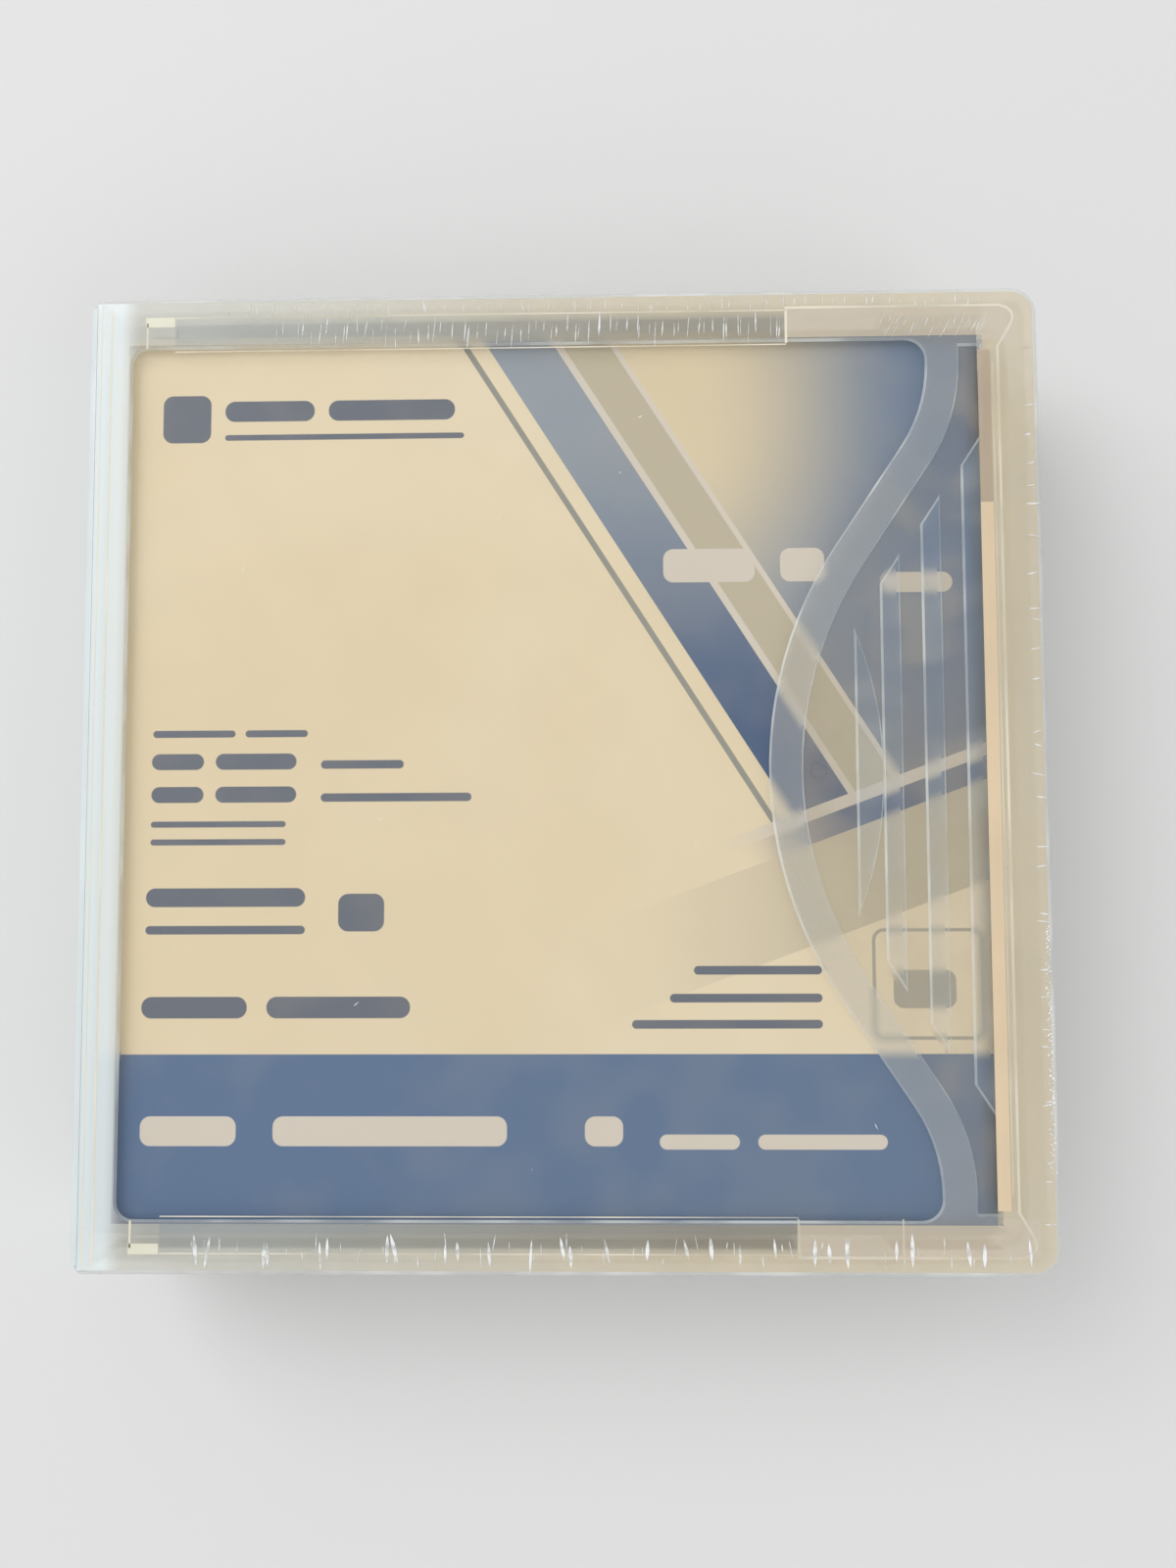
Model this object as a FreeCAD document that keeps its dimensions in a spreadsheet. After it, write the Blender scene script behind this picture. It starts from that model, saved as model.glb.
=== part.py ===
"""Data tape cartridge in its hinged library case, lying on its back with the lid up.

Frame: +X towards the opening edge of the case, the spine is at -X; +Y towards the end of the
cartridge that enters a drive; +Z up, through the lid. The origin is under the middle of the case.
"""
import FreeCAD, Part
import math
import os
import re
import Sketcher
import PartDesign

V = FreeCAD.Vector

SIZES = {
    # hinged case, outside
    "spine_room": 4.3,          # from the spine's outer face to the cartridge
    "edge_room": 6.7,           # from the cartridge to the opening edge
    "side_room": 4.7,           # from the cartridge to each long side of the case
    "head_room": 1.9,           # from the cartridge to the lid panel
    "case_wall": 1.2,           # floor, outer walls and spine
    "lid_panel": 1.4,           # top panel of the lid at its border
    "case_parting": 13.5,       # height where the walls of tray and lid meet
    "parting_gap": 0.1,
    "corner_radius": 3.1,       # the two corners at the opening edge
    "spine_corner_radius": 1.0,
    "edge_round": 0.8,          # long outer edges of lid and tray
    "spine_set_back": 0.3,      # how far the hinge webs stand proud of the spine
    "web_radius": 1.0,
    "web_thickness": 0.35,
    "web_end": 1.1,             # how much shorter each end of a hinge web is
    "mitre_gap": 0.14,
    "wall_start": 0.2,          # gap between the spine and the walls beside it
    # relief in the top of the lid
    "relief_depth": 0.4,
    "relief_slope": 30.0,       # degrees, lean of the walls of the relief
    "window_left": 5.1,         # border left of the window
    "window_border": 6.0,       # border above and below it
    "window_corner": 2.2,
    "window_far_corner": 2.6,
    "swoop_reach": 32.0,        # from the opening edge to the middle of the curved side
    "swoop_radius": 47.6,
    "swoop_slope": 33.8,        # degrees from the Y axis of its straight stretches
    "knee_run": 3.1,            # straight run between the knee and the window's end
    "knee_radius": 18.0,
    "band_width": 3.5,
    "field_margin": 6.6,        # from the opening edge to the ribbed field
    "field_border": 6.8,
    "crescent_reach": 21.9,     # from the opening edge to its straight side
    "crescent_inset": 34.9,     # from the end of the field to its tips
    "crescent_radius": 45.4,
    "rib_reach": 18.8,          # from the opening edge to the first straight rib
    "rib_pitch": 4.85,
    "rib_width": 1.9,
    "rib_inset": 28.7,          # from the end of the field to the first rib's ends
    "rib_growth": 7.0,
    "rib_slant": 2.9,
    "gate_reach": 26.5,
    "gate_radius": 1.05,
    "gate_depth": 0.15,
    # what hangs under the lid
    "sheet_thickness": 0.25,
    "sheet_gap": 0.2,           # between the folded sheet and the lid panel
    "sheet_margin": 1.7,        # from the rim to the edge of the folded sheet
    "tab_left": 7.1,
    "tab_length": 3.0,
    "tab_lip": 0.5,
    "tab_reach": 1.1,
    "tab_far_reach": 27.0,      # from the opening edge to the far tabs
    # tray inside
    "rim_inset": 1.5,           # from the outer face to the outer face of the rim
    "rim_wall": 1.2,
    "rim_gap": 0.3,             # under the lid panel
    "rim_left": 3.6,
    "rim_clearance": 1.4,       # from the cartridge to the set-back wall
    "rim_horn": 2.1,            # how far the corners of the rim reach past that wall
    "rim_nose": 1.9,
    "nose_round": 0.9,
    "rim_low": 4.0,             # height of those corners above the parting
    "low_corner_width": 6.0,
    "rim_step": 1.9,            # from the set-back wall to where the full height starts
    "notch_reach": 29.6,        # from the opening edge to the rim notches
    "notch_length": 11.8,
    "notch_bottom": 9.0,
    "pad_height": 1.0,
    "pad_width": 3.0,
    "pad_length": 80.0,
    "pad_offset": 40.0,
    "stop_height": 5.0,
    "stop_length": 30.0,
    # cartridge
    "cart_width": 102.0,
    "cart_depth": 105.4,
    "cart_height": 21.5,
    "cart_corner": 3.0,
    "cart_wall": 1.8,
    "cart_edge": 0.6,
    "inner_gap": 0.3,
    "label_width": 80.0,
    "label_height": 15.0,
    "label_recess": 0.4,
    "top_recess_width": 66.0,
    "top_recess_depth": 44.0,
    "top_recess_front": 8.0,
    "grip_count": 6.0,
    "grip_pitch": 3.6,
    "grip_width": 1.2,
    "grip_depth": 0.5,
    "grip_height": 14.0,
    "guide_length": 12.0,       # insertion notches beside the front end
    "guide_depth": 1.2,
    "guide_height": 4.0,
    "spindle_radius": 21.0,
    "spindle_lip": 1.2,
    "screw_x": 43.5,
    "screw_y": 47.6,
    "post_margin": 2.8,         # from a screw's middle to the sides of its post
    "screw_radius": 1.0,
    "screw_head_radius": 1.9,
    "screw_head": 1.4,
    "screw_length": 14.0,
    "screw_gap": 0.1,
    # reel
    "reel_y": -0.6,
    "flange_radius": 48.3,
    "flange": 1.2,
    "hub_radius": 22.0,
    "hub_wall": 2.0,
    "hub_floor": 2.0,
    "tape_width": 12.65,
    "tape_radius": 46.8,
    "hub_bore": 5.6,
    "clutch_radius": 17.0,
    "clutch_bore": 9.0,
    "clutch_plate": 1.0,
    "clutch_tooth": 0.7,
    "clutch_teeth": 16.0,
    "brake_teeth": 24.0,
    "brake_tooth": 0.9,
    "brake_radius": 14.0,
    "brake_disc": 1.6,
    "brake_mesh_gap": 0.25,
    "sleeve_radius": 4.0,
    "sleeve_bore_side": 3.8,
    "sleeve_height": 5.0,
    "post_side": 3.2,
    "brake_travel": 1.8,
    "release_radius": 5.2,
    "release_height": 3.0,
    "spring_radius": 5.2,
    "spring_wire": 0.35,
    # door, leader pin, slider and chip
    "door_front": 5.0,          # from the front end to the door opening
    "door_opening": 15.0,
    "door_sill": 2.6,
    "door_thickness": 1.2,
    "door_overlap": 2.0,
    "door_travel": 12.5,
    "lug_width": 1.6,
    "lug_height": 5.0,
    "door_spring_radius": 0.75,
    "door_spring_wire": 0.2,
    "door_spring_length": 19.0,
    "spring_stop": 1.5,
    "pin_x": 44.6,
    "pin_y": 41.0,
    "pin_radius": 1.5,
    "pin_head_radius": 2.4,
    "pin_head": 0.9,
    "slider_x": 34.0,
    "slider_travel": 5.0,
    "slider_width": 4.4,
    "slider_height": 3.4,
    "slider_z": 3.0,
    "slider_plate": 1.2,
    "slider_flange": 1.0,
    "chip_side": 6.4,
    "chip_thickness": 0.9,
    "chip_x": 45.6,
    "chip_y": 36.0,
    # loose sheet on the cartridge
    "card_thickness": 0.15,
    "card_inset": 1.7,          # from the cartridge's left side
    "card_overhang": 1.1,       # past the cartridge's right side
    "card_length": 83.2,
    "card_front": 0.2,          # from the cartridge's rear
    "card_corner": 1.5,
}

# places worked out once from the driving sizes
CASE_WIDTH = "(cart_width + spine_room + edge_room)"
CASE_DEPTH = "(cart_depth + 2 * side_room)"
CASE_TOP = "(case_wall + pad_height + cart_height + head_room + lid_panel)"
LEFT = f"(-{CASE_WIDTH} / 2)"
RIGHT = f"({CASE_WIDTH} / 2)"
SIDE = f"({CASE_DEPTH} / 2)"
SPINE_IN = f"({LEFT} + spine_set_back + case_wall)"
PANEL_UNDER = f"({CASE_TOP} - lid_panel)"
RIM_OUT = f"({SIDE} - rim_inset)"
RIM_IN = f"({SIDE} - rim_inset - rim_wall)"
RIM_TOP = f"({PANEL_UNDER} - rim_gap)"
SHEET_TOP = f"({PANEL_UNDER} - sheet_gap)"
SHEET_SIDE = f"({RIM_IN} - sheet_margin)"
CART_LOW = "(case_wall + pad_height)"
CART_MID = "(case_wall + pad_height + cart_height / 2)"
CART_TOP = "(case_wall + pad_height + cart_height)"
CART_X = f"({LEFT} + spine_room + cart_width / 2)"
CART_LEFT = f"({LEFT} + spine_room)"
CART_RIGHT = f"({RIGHT} - edge_room)"
SET_BACK = f"({CART_RIGHT} + rim_clearance + rim_wall)"
CART_SIDE = "(cart_depth / 2)"
INNER_LOW = "(case_wall + pad_height + cart_wall)"
INNER_TOP = "(case_wall + pad_height + cart_height - cart_wall)"
REEL_LOW = "(case_wall + pad_height + cart_wall + inner_gap)"
HUB_FLOOR = f"({REEL_LOW} + hub_floor)"
BRAKE_LOW = f"({HUB_FLOOR} + brake_mesh_gap)"
BRAKE_DISC = f"({BRAKE_LOW} + brake_tooth)"
BRAKE_TOP = f"({BRAKE_DISC} + brake_disc)"
DOOR_IN = f"({CART_RIGHT} - cart_wall - inner_gap - door_thickness)"
DOOR_OUT = f"({CART_RIGHT} - cart_wall - inner_gap)"
DOOR_FRONT = "(cart_depth / 2 - door_front)"
DOOR_BACK = "(cart_depth / 2 - door_front - door_opening)"

DOC = FreeCAD.newDocument("TapeCartridgeInCase")
NODES = {}


def fill_sheet():
    """One row for each driving size."""
    sheet = DOC.addObject("Spreadsheet::Sheet", "Dim")
    for row, (name, size) in enumerate(SIZES.items(), start=1):
        sheet.set(f"A{row}", name)
        sheet.set(f"B{row}", str(size))
        sheet.setAlias(f"B{row}", name)
    DOC.recompute()
    return sheet


def linked(text):
    """The text as an expression in which each size is read from the sheet."""
    return re.sub(r"[a-z_][a-z_0-9]*", sheet_name, str(text))


def sheet_name(word):
    return f"Dim.{word.group()}" if word.group() in SIZES else word.group()


def number(text):
    """What the text comes to with the sizes as they are."""
    return float(SHEET.evalExpression(linked(text)))


def bind(item, **properties):
    for name, text in properties.items():
        item.setExpression(name, linked(text))


def place(item, x="0", y="0", z="0"):
    for axis, text in zip("xyz", (x, y, z)):
        item.setExpression(f"Placement.Base.{axis}", linked(text))


def node(name, item):
    """Names a finished piece."""
    item.Label = name
    NODES[name] = item
    return item


# Part primitives ---------------------------------------------------------------------------

def cylinder(name, x, y, z0, z1, radius):
    item = DOC.addObject("Part::Cylinder", name)
    bind(item, Radius=radius, Height=f"({z1}) - ({z0})")
    place(item, x, y, z0)
    return item


def join(name, pieces):
    item = DOC.addObject("Part::MultiFuse", name)
    item.Shapes = pieces
    item.Refine = True
    return item


def subtract(name, base, tool):
    item = DOC.addObject("Part::Cut", name)
    item.Base = base
    item.Tool = tool
    return item


# PartDesign --------------------------------------------------------------------------------

def new_body(name):
    return DOC.addObject("PartDesign::Body", name)


def plane(body, role):
    return next(feature for feature in body.Origin.OriginFeatures if feature.Role == role)


def draw(body, name, role, lift, outlines, circles=()):
    """A sketch of closed outlines and circles, every point of it bound to the sheet.

    An outline is a list of (x, y) or, where an arc leads on to the next point,
    (x, y, radius, bulge), with bulge +1 on the left of the way and -1 on its right.
    """
    sketch = body.newObject("Sketcher::SketchObject", name)
    sketch.AttachmentSupport = [(plane(body, role), "")]
    sketch.MapMode = "FlatFace"
    sketch.setExpression("AttachmentOffset.Base.z", linked(lift))
    for outline in outlines:
        draw_outline(sketch, outline)
    for x, y, radius in circles:
        draw_circle(sketch, x, y, radius)
    return sketch


def draw_circle(sketch, x, y, radius):
    centre = V(number(x), number(y), 0)
    geo = sketch.addGeometry(Part.Circle(centre, V(0, 0, 1), number(radius)), False)
    fix_point(sketch, geo, 3, x, y)
    index = sketch.addConstraint(Sketcher.Constraint("Radius", geo, number(radius)))
    sketch.setExpression(f"Constraints[{index}]", linked(radius))


def draw_outline(sketch, outline):
    points = [V(number(item[0]), number(item[1]), 0) for item in outline]
    ends = []
    for i, item in enumerate(outline):
        start, end = points[i], points[(i + 1) % len(points)]
        if len(item) == 2:
            geo = sketch.addGeometry(Part.LineSegment(start, end), False)
            ends.append((geo, 1, 2))
            continue
        geo = sketch.addGeometry(arc_between(start, end, number(item[2]), item[3]), False)
        forward = sketch.getPoint(geo, 1).distanceToPoint(start) < 1e-6
        ends.append((geo, 1, 2) if forward else (geo, 2, 1))
        index = sketch.addConstraint(Sketcher.Constraint("Radius", geo, number(item[2])))
        sketch.setExpression(f"Constraints[{index}]", linked(item[2]))
    for i, item in enumerate(outline):
        before = ends[i - 1]
        geo, start, _ = ends[i]
        sketch.addConstraint(Sketcher.Constraint("Coincident", before[0], before[2], geo, start))
        fix_point(sketch, geo, start, item[0], item[1])


def arc_between(start, end, radius, bulge):
    chord = end - start
    half = chord.Length / 2
    left = V(-chord.y, chord.x, 0).normalize()
    height = radius - math.sqrt(radius ** 2 - half ** 2)
    return Part.Arc(start, (start + end) / 2 + left * bulge * height, end)


def fix_point(sketch, geo, pos, x, y):
    for kind, text in (("DistanceX", x), ("DistanceY", y)):
        index = sketch.addConstraint(Sketcher.Constraint(kind, -1, 1, geo, pos, number(text)))
        sketch.setExpression(f"Constraints[{index}]", linked(text))


def volume(body):
    return 0.0 if body.Shape.isNull() else body.Shape.Volume


def add_feature(body, kind, name, profile, grows, length, lean="0", **settings):
    """A feature of a sketch, with a test that it added or removed something."""
    before = volume(body)
    feature = body.newObject(f"PartDesign::{kind}", name)
    feature.Profile = profile
    bind(feature, Length=length, TaperAngle=lean)
    for key, setting in settings.items():
        setattr(feature, key, setting)
    profile.Visibility = False
    DOC.recompute()
    change = volume(body) - before
    if (change > 0) is not grows or abs(change) < 1e-3:
        raise ValueError(f"{name} changed the volume by {change:.3f}")
    return feature


def pad(body, name, profile, length, **settings):
    return add_feature(body, "Pad", name, profile, True, length, **settings)


def pocket(body, name, profile, length, **settings):
    """Cuts from the sketch plane downwards, or upwards with Reversed."""
    return add_feature(body, "Pocket", name, profile, False, length, **settings)


def rectangle(x0, x1, y0, y1):
    return [(x0, y0), (x1, y0), (x1, y1), (x0, y1)]


def block(body, name, x0, x1, y0, y1, z0, z1):
    profile = draw(body, f"{name}_outline", "XY_Plane", z0, [rectangle(x0, x1, y0, y1)])
    return pad(body, name, profile, f"({z1}) - ({z0})")


def cut_block(body, name, x0, x1, y0, y1, z0, z1):
    profile = draw(body, f"{name}_outline", "XY_Plane", z0, [rectangle(x0, x1, y0, y1)])
    return pocket(body, name, profile, f"({z1}) - ({z0})", Reversed=True)


def upright_edges(shape, points):
    """Names of the edges along Z that stand at one of the points."""
    found = []
    for index, edge in enumerate(shape.Edges, start=1):
        first, last = edge.Vertexes[0].Point, edge.Vertexes[-1].Point
        if math.hypot(first.x - last.x, first.y - last.y) > 1e-6 or abs(first.z - last.z) < 1e-6:
            continue
        if any(math.hypot(first.x - x, first.y - y) < 1e-3 for x, y in points):
            found.append(f"Edge{index}")
    return found


def round_uprights(body, name, points, radius):
    base = body.Tip
    spots = [(number(x), number(y)) for x, y in points]
    names = upright_edges(base.Shape, spots)
    if len(names) < len(spots):
        raise ValueError(f"{name} found {len(names)} edges for {len(spots)} points")
    return round_edges(body, name, names, radius)


def round_edges(body, name, names, radius):
    base = body.Tip
    fillet = body.newObject("PartDesign::Fillet", name)
    fillet.Base = (base, names)
    bind(fillet, Radius=radius)
    DOC.recompute()
    return fillet


def bevel_edges(body, name, names, size):
    base = body.Tip
    chamfer = body.newObject("PartDesign::Chamfer", name)
    chamfer.Base = (base, names)
    bind(chamfer, Size=size)
    DOC.recompute()
    return chamfer


def level_edges(shape, height):
    """Names of the edges that lie wholly at one height."""
    found = []
    for index, edge in enumerate(shape.Edges, start=1):
        bounds = edge.BoundBox
        if abs(bounds.ZMin - height) < 1e-4 and abs(bounds.ZMax - height) < 1e-4:
            found.append(f"Edge{index}")
    return found


def outer_level_edges(shape, height):
    """Edges at one height along the outline of the shape, without the one at its left end."""
    bounds = shape.BoundBox
    margin = number("corner_radius / 2")
    kept = []
    for name in level_edges(shape, height):
        middle = shape.getElement(name).CenterOfMass
        if middle.x > bounds.XMax - margin or abs(middle.y) > bounds.YMax - margin:
            kept.append(name)
    return kept


def round_pattern(body, name, feature, count):
    """Copies one feature all round the Z axis of its body."""
    before = volume(body)
    pattern = body.newObject("PartDesign::PolarPattern", name)
    pattern.Originals = [feature]
    pattern.Axis = (plane(body, "Z_Axis"), [""])
    pattern.Angle = 360
    bind(pattern, Occurrences=count)
    body.Tip = pattern
    DOC.recompute()
    if abs(volume(body) - before) < 1e-3:
        raise ValueError(f"{name} made no copies")
    return pattern


# the case ----------------------------------------------------------------------------------

def wall_ring(body, name, z0, z1):
    """Outer walls on three sides, open towards the spine, with the two outer corners rounded."""
    start = f"{SPINE_IN} + wall_start"
    inner_x, inner_y = f"{RIGHT} - case_wall", f"{SIDE} - case_wall"
    outline = [(start, f"-{SIDE}"), (RIGHT, f"-{SIDE}"), (RIGHT, SIDE), (start, SIDE),
               (start, inner_y), (inner_x, inner_y), (inner_x, f"-({inner_y})"),
               (start, f"-({inner_y})")]
    profile = draw(body, f"{name}_outline", "XY_Plane", z0, [outline])
    pad(body, name, profile, f"({z1}) - ({z0})")
    round_uprights(body, f"{name}_outer_corners", [(RIGHT, SIDE), (RIGHT, f"-{SIDE}")],
                   "corner_radius")
    round_uprights(body, f"{name}_inner_corners",
                   [(inner_x, inner_y), (inner_x, f"-({inner_y})")], "corner_radius - case_wall")


def mitred_panel(body, name, edge, inner, thickness):
    """A panel as deep as the case, cut to a mitre beside the hinge web at its left end."""
    near = f"{LEFT} + web_radius + mitre_gap / 3"
    mitre = f"(web_radius - mitre_gap) * ({inner}) + ({edge})"
    top = f"{edge} + ({inner}) * {thickness}"
    run = f"{near} + {thickness} - web_radius + mitre_gap"
    outline = [(near, edge), (RIGHT, edge), (RIGHT, top), (run, top), (near, mitre)]
    profile = draw(body, f"{name}_section", "XZ_Plane", "0", [outline])
    pad(body, name, profile, CASE_DEPTH, Midplane=True)


def rim_outline():
    """The rim as one wall, open towards the spine.

    It runs along both long sides, ends in a nose at each far corner and comes back from
    there to the set-back wall at 45 degrees.
    """
    start = f"({LEFT} + rim_left)"
    wall, nose = SET_BACK, f"({SET_BACK} + rim_horn)"
    low = f"({RIM_OUT} - rim_nose)"
    turn = f"({RIM_OUT} - rim_nose - rim_horn)"
    outer = [(start, RIM_OUT), (f"{nose} - nose_round", RIM_OUT, "nose_round", 1),
             (nose, f"({RIM_OUT} - nose_round)"), (nose, low), (wall, turn)]
    inner = [(start, RIM_IN), (f"{nose} + rim_nose - rim_wall * (1 + sqrt(2))", RIM_IN),
             (f"{wall} - rim_wall", f"{turn} + rim_wall * (sqrt(2) - 1)")]
    return outer + opposite(outer) + inner_way(inner)


def opposite(path):
    """The path on the other side of the XZ plane, walked backwards, arcs included."""
    back = list(reversed(path))
    arcs = [item[2:] for item in back[1:]] + [()]
    return [(item[0], f"-({item[1]})", *arc) for item, arc in zip(back, arcs)]


def inner_way(inner):
    """The inner face of the rim, walked back from the front end to the back end."""
    return [(x, f"-({y})") for x, y in inner] + list(reversed(inner))


def make_tray():
    body = new_body("case_tray")
    mitred_panel(body, "tray_floor", "0", "1", "case_wall")
    wall_ring(body, "tray_walls", "case_wall / 2", "case_parting")
    ring = draw(body, "rim_outline", "XY_Plane", "case_wall / 2", [rim_outline()])
    pad(body, "rim", ring, f"{RIM_TOP} - case_wall / 2")
    top, low = f"{RIM_TOP} + rim_gap", "case_parting + rim_low"
    step = f"{SET_BACK} - rim_step"
    inner_y = f"{RIM_OUT} - low_corner_width"
    cut_block(body, "low_corners_back", step, RIGHT, inner_y, SIDE, low, top)
    cut_block(body, "low_corners_front", step, RIGHT, f"-{SIDE}", f"-({inner_y})", low, top)
    left, right = f"{RIGHT} - notch_reach", f"{RIGHT} - notch_reach + notch_length"
    cut_block(body, "notch_back", left, right, f"{RIM_IN} - rim_gap", f"{RIM_OUT}",
              "notch_bottom", top)
    cut_block(body, "notch_front", left, right, f"-{RIM_OUT}", f"-({RIM_IN} - rim_gap)",
              "notch_bottom", top)
    for side, sign in (("back", "1"), ("front", "-1")):
        y0 = f"{sign} * pad_offset - pad_width / 2"
        block(body, f"pad_{side}", f"{CART_X} - pad_length / 2", f"{CART_X} + pad_length / 2",
              y0, f"{sign} * pad_offset + pad_width / 2", "case_wall / 2", CART_LOW)
    block(body, "left_stop", f"{CART_LEFT} - inner_gap - case_wall", f"{CART_LEFT} - inner_gap",
          "-stop_length / 2", "stop_length / 2", "case_wall / 2", f"{CART_LOW} + stop_height")
    names = outer_level_edges(body.Shape, 0.0)
    bevel_edges(body, "floor_edge", names, "edge_round")
    node("case_tray", body)


def make_spine():
    body = new_body("case_spine")
    out, inner = f"{LEFT} + spine_set_back", SPINE_IN
    knee = f"{LEFT} + web_radius"
    low = "web_radius + mitre_gap / 3"
    bend = "web_radius + mitre_gap"
    tip = f"{bend} + case_wall + spine_set_back - web_radius"
    lower = [(out, low), (knee, bend), (inner, tip)]
    upper = [(x, f"{CASE_TOP} - ({z})") for x, z in reversed(lower)]
    profile = draw(body, "spine_section", "XZ_Plane", "0", [lower + upper])
    pad(body, "spine_panel", profile, CASE_DEPTH, Midplane=True)
    round_uprights(body, "spine_corners", [(out, SIDE), (out, f"-{SIDE}")], "spine_corner_radius")
    node("case_spine", body)


def make_web(name, centre_z, up):
    """A quarter-round strip that bends between the spine and a panel."""
    body = new_body(name)
    centre = f"{LEFT} + web_radius"
    inner = "web_radius - web_thickness"
    end = f"{centre_z} + ({up}) * web_radius"
    end_inner = f"{centre_z} + ({up}) * ({inner})"
    bulge = int(up)
    outline = [(LEFT, centre_z, "web_radius", bulge), (centre, end),
               (centre, end_inner, inner, -bulge), (f"{LEFT} + web_thickness", centre_z)]
    profile = draw(body, f"{name}_section", "XZ_Plane", "0", [outline])
    pad(body, f"{name}_strip", profile, f"{CASE_DEPTH} - 2 * web_end", Midplane=True)
    node(name, body)


def swoop(offset, top):
    """The curved side of the window, or an offset copy of it, as arcs and tangent lines.

    It starts at the front and ends at the back: along Y, round a knee, straight, round the
    middle arc, straight, round the other knee and along Y again.
    """
    sin, cos = "sin(swoop_slope * 1 deg)", "cos(swoop_slope * 1 deg)"
    both, knee_y = "(swoop_radius + knee_radius)", f"({SIDE} - window_border - knee_run)"
    middle_x = f"({RIGHT} - swoop_reach + swoop_radius)"
    knee_x = f"({middle_x} - {both} * {cos} + ({sin} / {cos}) * ({knee_y} - {both} * {sin}))"
    wide, tight = f"(swoop_radius - {offset})", f"(knee_radius + {offset})"
    end_x = f"({knee_x} + {tight})"
    knee = (f"{knee_x} + {tight} * {cos}", f"{knee_y} - {tight} * {sin}")
    tip = (f"{middle_x} - {wide} * {cos}", f"{wide} * {sin}")
    return [(end_x, f"-{top}"), (end_x, f"-{knee_y}", tight, -1), (knee[0], f"-({knee[1]})"),
            (tip[0], f"-({tip[1]})", wide, 1), tip, (*knee, tight, -1), (end_x, knee_y),
            (end_x, top)]


def make_window(body):
    top = f"({SIDE} - window_border)"
    left = f"({LEFT} + window_left)"
    curve = swoop("0", top)
    end_x = curve[0][0]
    near, far = "window_corner", "window_far_corner"
    outline = [(f"{left} + {near}", f"-{top}"), (f"{end_x} - {far}", f"-{top}", far, -1),
               (end_x, f"-{top} + {far}"), *curve[1:-1], (end_x, f"{top} - {far}", far, -1),
               (f"{end_x} - {far}", top), (f"{left} + {near}", top, near, -1),
               (left, f"{top} - {near}"), (left, f"-{top} + {near}", near, -1)]
    profile = draw(body, "window_outline", "XY_Plane", CASE_TOP, [outline])
    pocket(body, "window", profile, "relief_depth", lean="-relief_slope")


def make_field(body):
    """The ribbed field between the band and the opening edge."""
    top = f"({SIDE} - field_border)"
    right = f"({RIGHT} - field_margin)"
    curve = swoop("band_width", top)
    profile = draw(body, "field_outline", "XY_Plane", CASE_TOP,
                   [curve + [(right, top), (right, f"-{top}")]])
    pocket(body, "field", profile, "relief_depth", lean="-relief_slope")
    straight, tip = f"{RIGHT} - crescent_reach", f"({top} - crescent_inset)"
    ribs = [[(straight, f"-{tip}"), (straight, tip, "crescent_radius", 1)]]
    for index in range(3):
        x0 = f"({RIGHT} - rib_reach + {index} * rib_pitch)"
        x1 = f"({RIGHT} - rib_reach + {index} * rib_pitch + rib_width)"
        short = f"({top} - rib_inset + {index} * rib_growth)"
        tall = f"({top} - rib_inset + {index} * rib_growth + rib_slant)"
        ribs.append([(x0, f"-{short}"), (x1, f"-{tall}"), (x1, tall), (x0, short)])
    profile = draw(body, "rib_outlines", "XY_Plane", CASE_TOP, ribs)
    pad(body, "ribs", profile, "lid_panel / 2", lean="relief_slope", Reversed=True)


def make_lid():
    body = new_body("case_lid")
    mitred_panel(body, "lid_panel", CASE_TOP, "-1", "lid_panel")
    wall_ring(body, "lid_walls", "case_parting + parting_gap", f"{CASE_TOP} - lid_panel / 2")
    hanger = f"{SHEET_SIDE} + sheet_gap"
    low = f"{SHEET_TOP} - sheet_thickness - sheet_gap - tab_lip"
    for name, start in (("near", f"{LEFT} + tab_left"), ("far", f"{RIGHT} - tab_far_reach")):
        x0, x1 = start, f"{start} + tab_length"
        for side, sign in (("back", 1), ("front", -1)):
            ys = (hanger, f"{RIM_IN} - rim_gap")
            lip = (f"{SHEET_SIDE} - tab_reach", f"{RIM_IN} - rim_gap")
            block(body, f"hanger_{name}_{side}", x0, x1, *mirrored(ys, sign), low, PANEL_UNDER)
            block(body, f"lip_{name}_{side}", x0, x1, *mirrored(lip, sign), low,
                  f"{low} + tab_lip")
    names = outer_level_edges(body.Shape, number(CASE_TOP))
    round_edges(body, "lid_edge", names, "edge_round")
    make_window(body)
    make_field(body)
    profile = draw(body, "gate_outline", "XY_Plane", f"{CASE_TOP} - relief_depth", [],
                   [(f"{RIGHT} - gate_reach", "0", "gate_radius")])
    pocket(body, "gate", profile, "gate_depth")
    node("case_lid", body)


def mirrored(pair, sign):
    """The pair of Y places on one side of the case, in rising order."""
    if sign > 0:
        return pair
    return f"-({pair[1]})", f"-({pair[0]})"


def make_insert():
    """One printed sheet: a front panel under the lid, folded down inside the spine."""
    body = new_body("cover_insert")
    top = SHEET_TOP
    under = f"{SHEET_TOP} - sheet_thickness"
    out = f"({SPINE_IN} + 2 * sheet_gap)"
    bend = "4 * sheet_thickness"
    inside = "3 * sheet_thickness"
    right = f"{RIGHT} - field_margin - sheet_gap"
    foot = "2 * case_wall"
    outline = [(out, foot), (f"{out} + sheet_thickness", foot),
               (f"{out} + sheet_thickness", f"{top} - {bend}", inside, 1),
               (f"{out} + {bend}", under), (right, under), (right, top),
               (f"{out} + {bend}", top, bend, -1), (out, f"{top} - {bend}")]
    profile = draw(body, "insert_section", "XZ_Plane", "0", [outline])
    pad(body, "insert_sheet", profile, f"2 * {SHEET_SIDE}", Midplane=True)
    node("cover_insert", body)


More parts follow.
